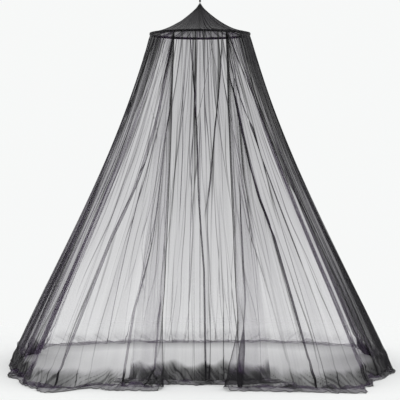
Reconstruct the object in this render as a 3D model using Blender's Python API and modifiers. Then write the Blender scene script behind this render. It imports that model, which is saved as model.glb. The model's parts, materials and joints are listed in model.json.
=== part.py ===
"""Bed mosquito net: a hooped canopy of black netting, hung from one ceiling hook.

Metres, +Z up. The origin is the middle of the face that goes against the ceiling, the front of the
net (its entrance) looks along -Y, and the floor lies CURTAIN_DROP below the hoop.
"""

import math

import bmesh
import bpy
from mathutils import Vector

# Ceiling fitting: a foam pad, a domed plate and a cup hook of round wire
PAD_DIAMETER = 0.040
PAD_THICKNESS = 0.001
PLATE_DIAMETER = 0.044
PLATE_RIM = 0.002
PLATE_DOME = 0.006
HOOK_WIRE = 0.004
HOOK_BEND = 0.009
HOOK_SHANK = 0.004
HOOK_NECK = 0.010
HOOK_SOCKET = 0.0045
HOOK_LIP = 0.0035

# Hanging cord: one loop over the hook, a barrel knot and a short eye under it
CORD_DIAMETER = 0.004
CORD_DROP = 0.0985
KNOT_DIAMETER = 0.0135
KNOT_HEIGHT = 0.013
KNOT_TURNS = 3
EYE_NECK = 0.006

# Apex: a wire ring sewn into a gathered collar
RING_WIRE = 0.0025
RING_RADIUS = 0.0055
COLLAR_CLEARANCE = 0.0014
COLLAR_TOP_RADIUS = 0.0078
COLLAR_RIM_RADIUS = 0.0215
COLLAR_HEIGHT = 0.028
COLLAR_WALL = 0.009

# Roof, hoop and casing
ROOF_DROP = 0.1693
HOOP_RADIUS = 0.325
ROOF_SAG = 1.8
ROOF_GATHERS = 18
ROOF_GATHER_DEPTH = 0.004
ROOF_GATHER_FADE = 0.8
ROOF_LAP = 0.007
HOOP_ROD = 0.0045
FERRULE_WALL = 0.0005
CASING_INNER = 0.0037
CASING_TAPE = 0.0007
CASING_DEPTH = 0.010
RING_STEPS = 72
SEAM_WIDTH = 0.009
SEAM_THICKNESS = 0.0008
SEAM_LIFT = 0.0006
SEAM_SLANT = 0.3

# Netting: its drop from the hoop to the floor, fold counts, the drape and the hem on the floor
CURTAIN_DROP = 2.160
CLOTH = 0.0015
HEM_CORD = 0.003
HEM_REACH = 1.38
DRAPE_SAG = 0.36
FOLD_DEPTH = 0.045
FOLD_SHARE = 0.30
FOLD_SHARPNESS = 1.5
FOLD_GROWTH = 0.8
HINGE_TAUT = 1.1
FLAP_FOLDS = 3
CURTAIN_FOLDS = 6
BACK_FOLDS = 5
FOLD_DRIFT = 0.16
FOLD_DRIFT_RATE = 2.4
POOL_RISE = 0.25
EDGE_AT_HOOP = 30.0
HINGE_AT_HOOP = 31.5
EDGE_AT_HEM = 10.5
HINGE_AT_HEM = 37.0
FLAP_TOP = 0.004
FRONT_PANEL_AT_HOOP = 46.0
FRONT_PANEL_AT_HEM = 27.0
FRONT_PANEL_REACH = 1.045
FRONT_PANEL_POOL = 0.10
FRONT_PANEL_FOLDS = 5
FRONT_FOLD_DEPTH = 0.022

# Hem on the floor: direction from the front in degrees, positive to the right, then as shares of
# HEM_REACH its distance from the middle of the net and how much of that lies on the floor
HEM_OUTLINE = (
    (-180, 1.000, 0.087),
    (-157, 1.087, 0.109),
    (-136, 1.145, 0.101),
    (-112, 0.950, 0.070),
    (-90, 0.896, 0.028),
    (-72, 0.918, 0.038),
    (-54, 1.022, 0.075),
    (-37, 1.130, 0.000),
    (-30, 1.159, 0.109),
    (-26, 0.964, 0.058),
    (-21, 1.029, 0.101),
    (-12, 1.007, 0.094),
    (12, 1.014, 0.087),
    (22, 1.087, 0.109),
    (31, 1.188, 0.094),
    (37, 1.123, 0.000),
    (48, 1.029, 0.072),
    (62, 0.975, 0.052),
    (84, 0.892, 0.028),
    (108, 0.926, 0.062),
    (134, 1.138, 0.101),
    (158, 1.094, 0.094),
    (180, 1.000, 0.087),
)

# Clearance between touching pieces, the gap between two panels at the top and at the hem, and how
# far the ends of the hems stay back from a corner, as shares of a mesh column
GAP = 0.0003
SEAM_GAP = 0.0006
HEM_SEAM_GAP = 0.0030
HEM_END = 0.1
FLAP_HEM_END = 0.3

# Heights that follow from the values above
PLATE_TOP = -(PAD_THICKNESS + GAP)
PLATE_BOTTOM = PLATE_TOP - PLATE_RIM - PLATE_DOME
HOOK_CENTRE = PLATE_BOTTOM - HOOK_SHANK - HOOK_NECK
HOOK_SEAT = HOOK_CENTRE - HOOK_BEND
LOOP_RADIUS = HOOK_WIRE / 2 + CORD_DIAMETER / 2 + 2 * GAP
KNOT_TOP = HOOK_SEAT - CORD_DROP
KNOT_BOTTOM = KNOT_TOP - KNOT_HEIGHT
EYE_RADIUS = RING_WIRE / 2 + CORD_DIAMETER / 2 + 2 * GAP
RING_TOP = KNOT_BOTTOM - EYE_NECK
RING_CENTRE = RING_TOP - RING_RADIUS
COLLAR_TOP = RING_CENTRE - COLLAR_CLEARANCE
COLLAR_BOTTOM = COLLAR_TOP - COLLAR_HEIGHT
HOOP_Z = COLLAR_BOTTOM - ROOF_DROP
FLOOR = HOOP_Z - CURTAIN_DROP
CASING_LIP = HOOP_Z - CASING_DEPTH
CASING_OUTER = CASING_INNER + CASING_TAPE
RING_STEP = 360.0 / RING_STEPS
HEADING_TOP = HOOP_Z - HOOP_ROD / 2 - 3 * GAP
OUTER_HEADING = HOOP_RADIUS + CASING_INNER - 2 * GAP
INNER_HEADING = HOOP_RADIUS - CASING_INNER + CLOTH + 2 * GAP
POOL_Z = FLOOR + HEM_CORD / 2 + CLOTH / 2

# Rows of the netting: -1 is the sewn heading, 0 the casing's lip, 1 the floor and 2 the hem
DROP_ROWS = (0.06, 0.18, 0.36, 0.55, 0.74, 0.88, 0.97, 1.0)
POOL_ROWS = (1.5, 2.0)
FOLD_COLUMNS = (0.0, 0.30, 0.50, 0.70)
ROOF_ROWS = (0.0, 0.12, 0.32, 0.60, 0.90, 1.0, 2.0)
ROW_STEP = 0.02
FOLD_STEP = 0.04
WELD = 0.00001

BLACK_NET = (0.030, 0.030, 0.032)
BLACK_TAPE = (0.015, 0.015, 0.016)
BLACK_CORD = (0.018, 0.018, 0.019)


def clear_scene():
    """Remove whatever the open file holds."""
    for item in list(bpy.data.objects):
        bpy.data.objects.remove(item, do_unlink=True)
    for group in list(bpy.data.collections):
        bpy.data.collections.remove(group)


def new_collection(name):
    group = bpy.data.collections.new(name)
    bpy.context.scene.collection.children.link(group)
    return group


def finish(name, colour, roughness, metallic=0.0):
    """A plain Principled finish."""
    material = bpy.data.materials.new(name)
    material.use_nodes = True
    shader = material.node_tree.nodes["Principled BSDF"]
    shader.inputs["Base Color"].default_value = (*colour, 1.0)
    shader.inputs["Roughness"].default_value = roughness
    shader.inputs["Metallic"].default_value = metallic
    return material


def add_object(name, data, group, material):
    item = bpy.data.objects.new(name, data)
    group.objects.link(item)
    if material:
        data.materials.append(material)
    return item


def mesh_object(name, mesh_parts, group, material, smooth=40.0):
    """An object whose mesh is taken from a bmesh, with round faces shaded smooth."""
    mesh = bpy.data.meshes.new(name)
    mesh_parts.to_mesh(mesh)
    mesh_parts.free()
    if smooth:
        mesh.shade_smooth()
        mesh.set_sharp_from_angle(angle=math.radians(smooth))
    return add_object(name, mesh, group, material)


def tube(name, points, diameter, group, material, resolution=2, cyclic=False):
    """A round tube along points, with closed ends."""
    curve = bpy.data.curves.new(name, "CURVE")
    curve.dimensions = "3D"
    curve.bevel_depth = diameter / 2
    curve.bevel_resolution = resolution
    curve.use_fill_caps = not cyclic
    spline = curve.splines.new("POLY")
    spline.points.add(len(points) - 1)
    for point, place in zip(spline.points, points):
        point.co = (*place, 1.0)
    spline.use_cyclic_u = cyclic
    return add_object(name, curve, group, material)


def as_mesh(item, group, material):
    """A mesh object with the evaluated, welded shape of a curve object, which is removed."""
    bpy.context.view_layer.update()
    depsgraph = bpy.context.evaluated_depsgraph_get()
    mesh = bpy.data.meshes.new_from_object(item.evaluated_get(depsgraph))
    shape = bmesh.new()
    shape.from_mesh(mesh)
    bmesh.ops.remove_doubles(shape, verts=shape.verts, dist=WELD)
    place = item.matrix_world.copy()
    name = item.name
    bpy.data.objects.remove(item, do_unlink=True)
    made = mesh_object(name, shape, group, material)
    made.name = name
    made.matrix_world = place
    return made


def turned(name, profile, steps, group, material, closed_loop=False):
    """A body turned about Z from (radius, height) points that run down its outer side."""
    shape = bmesh.new()
    corners = [shape.verts.new((radius, 0.0, height)) for radius, height in profile]
    for first, second in zip(corners, corners[1:]):
        shape.edges.new((first, second))
    if closed_loop:
        shape.edges.new((corners[-1], corners[0]))
    item = mesh_object(name, shape, group, material, smooth=0)
    screw = item.modifiers.new("turn", "SCREW")
    screw.axis = "Z"
    screw.angle = math.tau
    screw.steps = steps
    screw.render_steps = steps
    screw.use_merge_vertices = True
    screw.merge_threshold = WELD
    screw.use_smooth_shade = True
    return item


def cut(item, cutter):
    """Cut one body out of another, and keep the cutter out of sight."""
    cutter.hide_render = True
    cutter.display_type = "WIRE"
    difference = item.modifiers.new("cut", "BOOLEAN")
    difference.operation = "DIFFERENCE"
    difference.object = cutter
    difference.solver = "EXACT"


def mix(first, second, share):
    return first + (second - first) * share


def ease(share):
    """A step from 0 to 1 that starts and ends level."""
    share = min(max(share, 0.0), 1.0)
    return share * share * (3 - 2 * share)


def around(azimuth, radius, height=0.0):
    """The point at an azimuth in degrees, 0 at the front and positive to the right."""
    angle = math.radians(azimuth)
    return Vector((radius * math.sin(angle), -radius * math.cos(angle), height))


def arc(centre, radius, start, end, steps, axis_u, axis_v):
    """Points on an arc, in degrees, in the plane of two unit vectors."""
    turns = [math.radians(mix(start, end, i / steps)) for i in range(steps + 1)]
    return [
        centre + axis_u * (radius * math.cos(turn)) + axis_v * (radius * math.sin(turn))
        for turn in turns
    ]


def ceiling_fitting(group, cutters):
    """The pad, the domed plate with its socket, and the cup hook."""
    foam = finish("pad_foam", (0.75, 0.75, 0.73), 0.8)
    shell = finish("plate_plastic", (0.78, 0.78, 0.76), 0.4)
    steel = finish("hook_steel", (0.62, 0.62, 0.60), 0.3, 1.0)
    pad_radius = PAD_DIAMETER / 2
    pad_profile = (
        (0.0, 0.0),
        (pad_radius, 0.0),
        (pad_radius, -PAD_THICKNESS),
        (0.0, -PAD_THICKNESS),
    )
    turned("adhesive_pad", pad_profile, 32, group, foam)
    rim = PLATE_DIAMETER / 2
    rim_bottom = PLATE_TOP - PLATE_RIM
    dome = [(rim, PLATE_TOP), (rim, rim_bottom)]
    for i in range(1, 6):
        turn = math.radians(18 * i)
        dome.append((rim * math.cos(turn), rim_bottom - PLATE_DOME * math.sin(turn)))
    dome[-1] = (0.0, PLATE_BOTTOM)
    plate = turned("ceiling_plate", [(0.0, PLATE_TOP)] + dome, 32, group, shell)
    hole = bmesh.new()
    bmesh.ops.create_cone(
        hole,
        cap_ends=True,
        segments=16,
        radius1=HOOK_WIRE / 2 + 2 * GAP,
        radius2=HOOK_WIRE / 2 + 2 * GAP,
        depth=2 * HOOK_SOCKET,
    )
    socket = mesh_object("hook_socket", hole, cutters, None, smooth=0)
    socket.location.z = PLATE_BOTTOM
    cut(plate, socket)
    across = Vector((0, 1, 0))
    up = Vector((0, 0, 1))
    shank_end = PLATE_BOTTOM - HOOK_SHANK
    route = [Vector((0, 0, PLATE_BOTTOM + HOOK_SOCKET - GAP)), Vector((0, 0, PLATE_BOTTOM))]
    neck = HOOK_NECK / 2
    for i in range(9):
        share = i / 8
        start = Vector((0, 0, shank_end))
        first = start - up * neck
        end = Vector((0, HOOK_BEND, HOOK_CENTRE))
        second = end + up * neck
        route.append(
            start * (1 - share) ** 3
            + first * (3 * share * (1 - share) ** 2)
            + second * (3 * share**2 * (1 - share))
            + end * share**3
        )
    centre = Vector((0, 0, HOOK_CENTRE))
    route += arc(centre, HOOK_BEND, 0, -180, 16, across, up)[1:]
    route.append(route[-1] + up * HOOK_LIP - across * HOOK_LIP / 3)
    tube("ceiling_hook", route, HOOK_WIRE, group, steel, resolution=2)


def hanging_cord(group):
    """The loop over the hook, the barrel knot and the eye that carries the ring."""
    rope = finish("cord_polyester", BLACK_CORD, 0.8)
    across = Vector((1, 0, 0))
    up = Vector((0, 0, 1))
    foot = KNOT_TOP + GAP
    foot_half = CORD_DIAMETER / 2 + GAP
    seat = Vector((0, 0, HOOK_SEAT))
    steps = 12
    right = []
    for i in range(steps):
        share = i / steps
        half = mix(foot_half, LOOP_RADIUS, ease(share))
        right.append(Vector((half, 0, mix(foot, HOOK_SEAT, share))))
    over = arc(seat, LOOP_RADIUS, 0, 180, 12, across, up)
    left = [Vector((-point.x, 0, point.z)) for point in reversed(right)]
    tube("hanging_cord", right + over + left, CORD_DIAMETER, group, rope, resolution=2)
    bulge = KNOT_HEIGHT / KNOT_TURNS
    core = KNOT_DIAMETER / 2 - bulge / 2
    profile = [(0.0, KNOT_TOP), (core, KNOT_TOP)]
    for turn in range(KNOT_TURNS):
        middle = KNOT_TOP - bulge * (turn + 0.5)
        for step in range(5):
            angle = math.radians(90 - 45 * step)
            point = (core + bulge / 2 * math.cos(angle), middle + bulge / 2 * math.sin(angle))
            if (turn, step) != (0, 0) and (step or turn == 0):
                profile.append(point)
    profile.append((0.0, KNOT_BOTTOM))
    turned("cord_knot", profile, 20, group, rope)
    along = Vector((0, 1, 0))
    eye_top = KNOT_BOTTOM - GAP
    axle = Vector((0, 0, RING_TOP))
    bow = arc(axle, EYE_RADIUS, 0, -180, 12, along, up)
    ends = [Vector((0, side * EYE_RADIUS, eye_top)) for side in (1, -1)]
    tube("cord_eye", [ends[0]] + bow + [ends[1]], CORD_DIAMETER, group, rope, resolution=2)


def apex(group, cutters):
    """The sewn-in wire ring and the collar that binds the top of the roof."""
    steel = finish("ring_steel", (0.05, 0.05, 0.05), 0.35, 1.0)
    tape = finish("collar_tape", BLACK_TAPE, 0.85)
    across = Vector((1, 0, 0))
    up = Vector((0, 0, 1))
    centre = Vector((0, 0, RING_CENTRE))
    loop = arc(centre, RING_RADIUS, 0, 360, 24, across, up)[:-1]
    tube("apex_ring", loop, RING_WIRE, group, steel, resolution=2, cyclic=True)
    drop = COLLAR_HEIGHT
    rim = COLLAR_RIM_RADIUS
    profile = [(0.0, COLLAR_TOP), (COLLAR_TOP_RADIUS - 0.001, COLLAR_TOP)]
    for i in range(7):
        share = i / 6
        radius = mix(COLLAR_TOP_RADIUS, rim, share**2.2)
        profile.append((radius, COLLAR_TOP - 0.001 - (drop - 0.001) * share))
    profile.append((rim - COLLAR_WALL, COLLAR_BOTTOM))
    profile.append((0.0, COLLAR_BOTTOM + COLLAR_WALL))
    collar = turned("apex_collar", profile, 24, group, tape)
    slot = tube("ring_slot", loop, RING_WIRE + 2 * GAP, cutters, None, resolution=2, cyclic=True)
    slot = as_mesh(slot, cutters, None)
    cut(collar, slot)


def roof_point(azimuth, share):
    """A point on the roof's outer face: share 0 under the collar, 1 over the hoop."""
    top_radius = COLLAR_RIM_RADIUS - CLOTH / 2
    top = COLLAR_BOTTOM - GAP
    edge = HOOP_RADIUS + CASING_OUTER + 2 * GAP + CLOTH
    brow = HOOP_Z + CASING_OUTER + 2 * GAP + CLOTH
    if share > 1:
        return around(azimuth, edge, mix(brow, HOOP_Z - ROOF_LAP, share - 1))
    fade = math.sin(math.pi * share) ** ROOF_GATHER_FADE
    gather = math.sin(math.radians(azimuth * ROOF_GATHERS)) * fade
    height = mix(brow, top, (1 - share) ** ROOF_SAG) + ROOF_GATHER_DEPTH * gather * share
    return around(azimuth, mix(top_radius, edge, share), height)


def grid_surface(rows, keep_out):
    """A sheet through rows of points, facing away from the point keep_out."""
    sheet = bmesh.new()
    corners = [[sheet.verts.new(point) for point in row] for row in rows]
    for upper, lower in zip(corners, corners[1:]):
        for i in range(len(upper) - 1):
            sheet.faces.new((upper[i], upper[i + 1], lower[i + 1], lower[i]))
    bmesh.ops.remove_doubles(sheet, verts=sheet.verts, dist=WELD)
    sheet.normal_update()
    outward = sum(
        face.calc_area() * face.normal.dot(face.calc_center_median() - keep_out)
        for face in sheet.faces
    )
    if outward < 0:
        bmesh.ops.reverse_faces(sheet, faces=sheet.faces)
    return sheet


def thicken(item, thickness):
    """Give a sheet its thickness on its inner side."""
    solid = item.modifiers.new("thickness", "SOLIDIFY")
    solid.thickness = thickness
    solid.offset = -1.0
    solid.use_even_offset = False
    solid.use_rim = True


def roof(group):
    """The two gathered halves of the roof, and the tapes over their front and back seams."""
    net = finish("roof_netting", BLACK_NET, 0.9)
    tape = finish("roof_seam_tape", BLACK_TAPE, 0.85)
    half_steps = RING_STEPS // 2
    for name, side in (("left_roof", -1), ("right_roof", 1)):
        rows = []
        for share in ROOF_ROWS:
            row = [roof_point(side * RING_STEP * i, share) for i in range(half_steps + 1)]
            for end in (0, -1):
                row[end].x += side * SEAM_GAP / 2
            rows.append(row)
        cover = grid_surface(rows, Vector((0, 0, FLOOR)))
        half = mesh_object(name, cover, group, net)
        thicken(half, CLOTH)
    lift = Vector((0, 0, SEAM_THICKNESS + GAP + SEAM_LIFT))
    for name, azimuth in (("front_roof_seam", 0.0), ("back_roof_seam", 180.0)):
        strip = []
        for share in ROOF_ROWS[1:-2]:
            middle = roof_point(azimuth, share)
            beside_it = roof_point(azimuth + RING_STEP, share)
            rise = Vector((0, 0, abs(beside_it.z - middle.z) * SEAM_SLANT))
            half_width = (beside_it - middle).to_2d().normalized().to_3d() * (SEAM_WIDTH / 2)
            strip.append([middle + lift - half_width, middle + lift + half_width + rise])
        seam = grid_surface(strip, Vector((0, 0, FLOOR)))
        band = mesh_object(name, seam, group, tape)
        thicken(band, SEAM_THICKNESS)


def hoop(group, cutters):
    """Two half-round rods, the two ferrules that join them, and the casing sewn over them."""
    rod = finish("hoop_fibreglass", (0.10, 0.10, 0.10), 0.45)
    steel = finish("ferrule_steel", (0.60, 0.60, 0.60), 0.3, 1.0)
    tape = finish("casing_tape", BLACK_TAPE, 0.85)
    end = math.degrees(SEAM_GAP / 2 / HOOP_RADIUS)
    half_steps = RING_STEPS // 2
    for name, side in (("hoop_rod_right", 1), ("hoop_rod_left", -1)):
        stops = [end] + [RING_STEP * i for i in range(1, half_steps)] + [180 - end]
        route = [around(side * stop, HOOP_RADIUS, HOOP_Z) for stop in stops]
        tube(name, route, HOOP_ROD, group, rod, resolution=2)
    bore = HOOP_ROD + 4 * GAP
    for name, middle in (("hoop_ferrule_front", 0.0), ("hoop_ferrule_back", 180.0)):
        sleeve_stops = [middle + RING_STEP * i for i in (-1, 0, 1)]
        bore_stops = [middle + RING_STEP * i for i in (-2, -1, 0, 1, 2)]
        sleeve = [around(stop, HOOP_RADIUS, HOOP_Z) for stop in sleeve_stops]
        hollow = [around(stop, HOOP_RADIUS, HOOP_Z) for stop in bore_stops]
        outer = tube(name, sleeve, bore + 2 * FERRULE_WALL, group, steel, resolution=2)
        inner = tube(name + "_bore", hollow, bore, cutters, None, resolution=2)
        outer = as_mesh(outer, group, steel)
        inner = as_mesh(inner, cutters, None)
        cut(outer, inner)
    arch = []
    for i in range(5):
        turn = math.radians(180 - 45 * i)
        arch.append((math.cos(turn), math.sin(turn)))
    profile = [(HOOP_RADIUS - CASING_OUTER, CASING_LIP)]
    for x, z in arch:
        profile.append((HOOP_RADIUS + CASING_OUTER * x, HOOP_Z + CASING_OUTER * z))
    profile.append((HOOP_RADIUS + CASING_OUTER, CASING_LIP))
    profile.append((HOOP_RADIUS + CASING_INNER, CASING_LIP))
    for x, z in reversed(arch):
        profile.append((HOOP_RADIUS + CASING_INNER * x, HOOP_Z + CASING_INNER * z))
    profile.append((HOOP_RADIUS - CASING_INNER, CASING_LIP))
    turned("hoop_casing", profile, RING_STEPS, group, tape, closed_loop=True)


def hem_reach(azimuth):
    """How far the hem reaches in a direction, and how much of that lies on the floor."""
    azimuth = (azimuth + 180.0) % 360.0 - 180.0
    for first, second in zip(HEM_OUTLINE, HEM_OUTLINE[1:]):
        if first[0] <= azimuth <= second[0]:
            share = ease((azimuth - first[0]) / (second[0] - first[0]))
            reach = HEM_REACH * mix(first[1], second[1], share)
            return reach, HEM_REACH * mix(first[2], second[2], share)
    return HEM_REACH * HEM_OUTLINE[0][1], HEM_REACH * HEM_OUTLINE[0][2]


def fold_place(q):
    """Azimuths at the hoop and at the hem of a place in the outer netting.

    q counts folds from the free edge: the flap comes first, then the curtain and half the back.
    """
    if q <= FLAP_FOLDS:
        share = q / FLAP_FOLDS
        return mix(EDGE_AT_HOOP, HINGE_AT_HOOP, share), mix(EDGE_AT_HEM, HINGE_AT_HEM, share)
    total = CURTAIN_FOLDS + BACK_FOLDS
    along = q - FLAP_FOLDS
    drift = FOLD_DRIFT * math.sin(FOLD_DRIFT_RATE * along) * math.sin(math.pi * along / total)
    share = (along + drift) / total
    return mix(HINGE_AT_HOOP, 180.0, share), mix(HINGE_AT_HEM, 180.0, share)


def drape(share):
    """Share of the way out from hoop to floor line at a share of the way down."""
    return share - DRAPE_SAG * share * (1 - share) ** 2


def fold_height(q):
    """0 in the valleys between folds and 1 on a fold's crest."""
    return abs(math.sin(math.pi * q)) ** (2 * FOLD_SHARPNESS)


def netting_point(side, q, row):
    """A point on the outer face of the curtains, side 1 on the right and -1 on the left."""
    at_hoop, at_hem = fold_place(q)
    reach, pool = hem_reach(side * at_hem)
    start = around(side * at_hoop, OUTER_HEADING)
    contact = around(side * at_hem, reach - pool)
    tip = around(side * at_hem, reach)
    next_hoop, next_hem = fold_place(q + 0.5 if q + 0.5 <= FLAP_FOLDS else q - 0.5)
    if row <= 0:
        return start + Vector((0, 0, mix(CASING_LIP, HEADING_TOP, -row)))
    share = min(row, 1.0)
    taut = ease(1 - abs(q - FLAP_FOLDS) / HINGE_TAUT)
    out = mix(drape(share), share, taut)
    place = start.lerp(contact, out)
    spread = 2 * math.radians(mix(abs(next_hoop - at_hoop), abs(next_hem - at_hem), out))
    room = spread * place.length
    depth = min(FOLD_DEPTH * out**FOLD_GROWTH, FOLD_SHARE * room) * fold_height(q)
    height = mix(CASING_LIP, POOL_Z, share)
    if row > 1:
        place = contact.lerp(tip, row - 1)
        height += depth * POOL_RISE * (row - 1) * (2 - row) * 4
    outward = around(side * at_hem, 1.0)
    return place + outward * depth + Vector((0, 0, height))


def front_panel_point(q, row):
    """A point on the outer face of the inner panel behind the entrance; q counts its folds."""
    share_across = 2 * q / FRONT_PANEL_FOLDS - 1
    at_hoop = FRONT_PANEL_AT_HOOP * share_across
    at_hem = FRONT_PANEL_AT_HEM * share_across
    start = around(at_hoop, INNER_HEADING)
    if row <= 0:
        return start + Vector((0, 0, mix(CASING_LIP, HEADING_TOP, -row)))
    share = min(row, 1.0)
    contact = around(at_hem, FRONT_PANEL_REACH - FRONT_PANEL_POOL)
    tip = around(at_hem, FRONT_PANEL_REACH)
    out = drape(share)
    depth = FRONT_FOLD_DEPTH * out * fold_height(q)
    height = mix(CASING_LIP, POOL_Z, share)
    place = start.lerp(contact, out)
    if row > 1:
        place = contact.lerp(tip, row - 1)
        height += depth * POOL_RISE * (row - 1) * (2 - row) * 4
    return place + around(at_hem, depth) + Vector((0, 0, height))


def columns(first, last):
    """Fold coordinates of the mesh columns, closest together on the crests."""
    stops = [fold + part for fold in range(first, last) for part in FOLD_COLUMNS]
    return stops + [float(last)]


def inset_ends(outer, inner, down):
    """Draw the side edges of a shell in, to leave a seam's gap that widens downwards."""
    for face, back, drop in zip(outer, inner, down):
        half_gap = mix(SEAM_GAP, HEM_SEAM_GAP, min(max(drop, 0.0), 1.0)) / 2
        for edge, beside_edge in ((0, 1), (-1, -2)):
            across = face[beside_edge] - face[edge]
            step = across.normalized() * min(half_gap, across.length / 2)
            face[edge] = face[edge] + step
            back[edge] = back[edge] + step


def inward(surface, q, row):
    """The direction into the net from a surface function, the same from both sides of a seam."""
    row = min(max(row, ROW_STEP), 2.0)
    along = surface(q, min(row + ROW_STEP, 2.0)) - surface(q, row - ROW_STEP)
    if along.length < WELD:
        return inward(surface, q, 1.0)
    across = surface(q + FOLD_STEP, row) - surface(q - FOLD_STEP, row)
    normal = along.cross(across).normalized()
    outward = surface(q, row)
    outward.z = outward.to_2d().length / 2
    return -normal if normal.dot(outward) > 0 else normal


def panel(name, surface, across, down, group, material):
    """One piece of netting: a closed shell between two lofted grids, as thick as the cloth."""
    outer = [[surface(q, row) for q in across] for row in down]
    inner = [
        [point + inward(surface, q, row) * CLOTH for q, point in zip(across, line)]
        for row, line in zip(down, outer)
    ]
    inset_ends(outer, inner, down)
    shell = bmesh.new()
    front = [[shell.verts.new(point) for point in line] for line in outer]
    back = [[shell.verts.new(point) for point in line] for line in inner]
    for i in range(len(down) - 1):
        for j in range(len(across) - 1):
            shell.faces.new((front[i][j], front[i + 1][j], front[i + 1][j + 1], front[i][j + 1]))
            shell.faces.new((back[i][j], back[i][j + 1], back[i + 1][j + 1], back[i + 1][j]))
        for j in (0, -1):
            shell.faces.new((front[i][j], back[i][j], back[i + 1][j], front[i + 1][j]))
    for j in range(len(across) - 1):
        for i in (0, -1):
            shell.faces.new((front[i][j], front[i][j + 1], back[i][j + 1], back[i][j]))
    bmesh.ops.remove_doubles(shell, verts=shell.verts, dist=WELD)
    bmesh.ops.recalc_face_normals(shell, faces=shell.faces)
    if shell.calc_volume(signed=True) < 0:
        bmesh.ops.reverse_faces(shell, faces=shell.faces)
    return mesh_object(name, shell, group, material, smooth=60)


def beside(points, distance, inner):
    """A line that runs at a distance beside a line on the floor, away from the point inner."""
    moved = []
    for i, point in enumerate(points):
        before = points[max(i - 1, 0)]
        after = points[min(i + 1, len(points) - 1)]
        first = (point - before).to_2d()
        second = (after - point).to_2d()
        first = first if first.length > 0 else second
        second = second if second.length > 0 else first
        first.normalize()
        second.normalize()
        along = (first + second).normalized()
        normal = Vector((along.y, -along.x, 0))
        if normal.dot(point - inner) < 0:
            normal = -normal
        mitre = max(along.dot(second), 0.5)
        moved.append(point + normal * (distance / mitre))
    return moved


def hem(name, surface, across, group, material, end_clear=0.0):
    """The rolled hem along the lower edge of a piece of netting."""
    edge = [surface(q, 2.0) for q in across]
    if end_clear:
        edge[0] = edge[0].lerp(edge[1], end_clear)
        edge[-1] = edge[-1].lerp(edge[-2], end_clear)
    middle = Vector((0, 0, FLOOR))
    route = beside(edge, HEM_CORD / 2 + 2 * GAP, middle)
    for point in route:
        point.z -= CLOTH / 2
    return tube(name, route, HEM_CORD, group, material, resolution=1)


def seam_tube(name, side, q, group, material):
    """The rolled seam allowance inside the net, down a line where two panels meet."""
    into_net = -around(side * fold_place(q)[1], 1.0)
    offset = into_net * (CLOTH + HEM_CORD / 2 + 2 * GAP)
    route = [netting_point(side, q, row) + offset for row in DROP_ROWS[:-1]]
    tube(name, route, HEM_CORD, group, material, resolution=1)


def netting(group):
    """Curtains, flaps, back panels, inner panel, and their rolled hems, edges and seams."""
    net = finish("netting", BLACK_NET, 0.9)
    tape = finish("hem_tape", BLACK_TAPE, 0.85)
    full_drop = (-1.0, 0.0) + DROP_ROWS + POOL_ROWS
    flap_drop = (FLAP_TOP, ROW_STEP) + DROP_ROWS + POOL_ROWS
    seam = FLAP_FOLDS + CURTAIN_FOLDS
    last = seam + BACK_FOLDS
    for name, side in (("left", -1), ("right", 1)):

        def surface(q, row, side=side):
            """This side's netting up to the middle of the back, and past it the other side's."""
            if q > last:
                return netting_point(-side, 2 * last - q, row)
            return netting_point(side, q, row)

        flap = columns(0, FLAP_FOLDS)
        curtain = columns(FLAP_FOLDS, seam)
        back = columns(seam, last)
        panel(name + "_flap", surface, flap, flap_drop, group, net)
        panel(name + "_curtain", surface, curtain, full_drop, group, net)
        panel(name + "_back_panel", surface, back, full_drop, group, net)
        hem(name + "_flap_hem", surface, flap, group, tape, end_clear=FLAP_HEM_END)
        hem(name + "_curtain_hem", surface, curtain, group, tape, end_clear=HEM_END)
        hem(name + "_back_hem", surface, back, group, tape, end_clear=HEM_END)
        edge = []
        for row in flap_drop[:-1]:
            point = surface(0.0, row)
            inside = surface(FOLD_COLUMNS[1], row)
            away = (point - inside).normalized()
            edge.append(point + away * (HEM_CORD / 2 + GAP))
        tube(name + "_flap_edge", edge, HEM_CORD, group, tape, resolution=1)
        seam_tube(name + "_seam", side, seam, group, tape)
    seam_tube("back_seam", 1, last, group, tape)
    inner = columns(0, FRONT_PANEL_FOLDS)
    panel("front_panel", front_panel_point, inner, full_drop, group, net)
    hem("front_panel_hem", front_panel_point, inner, group, tape)


def main():
    clear_scene()
    group = new_collection("bed_mosquito_net")
    cutters = new_collection("cutters")
    ceiling_fitting(group, cutters)
    hanging_cord(group)
    apex(group, cutters)
    roof(group)
    hoop(group, cutters)
    netting(group)


main()
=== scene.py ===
"""Looks of the bed mosquito net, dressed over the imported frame.

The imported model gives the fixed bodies. This script replaces its soft solids by full netting with
pleats, gathers and a crumpled hem, gives the cord its wraps and the fitting its small details, and
sets the plain studio and the camera of the photograph.

Units are metres, +Z is up, the origin is the middle of the face against the ceiling, and the
entrance of the net looks along -Y. Azimuths are degrees from the front, positive to the right.
"""

import json
import logging
import math
from dataclasses import dataclass
from enum import Enum
from typing import Any, Callable, Sequence, Union

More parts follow.
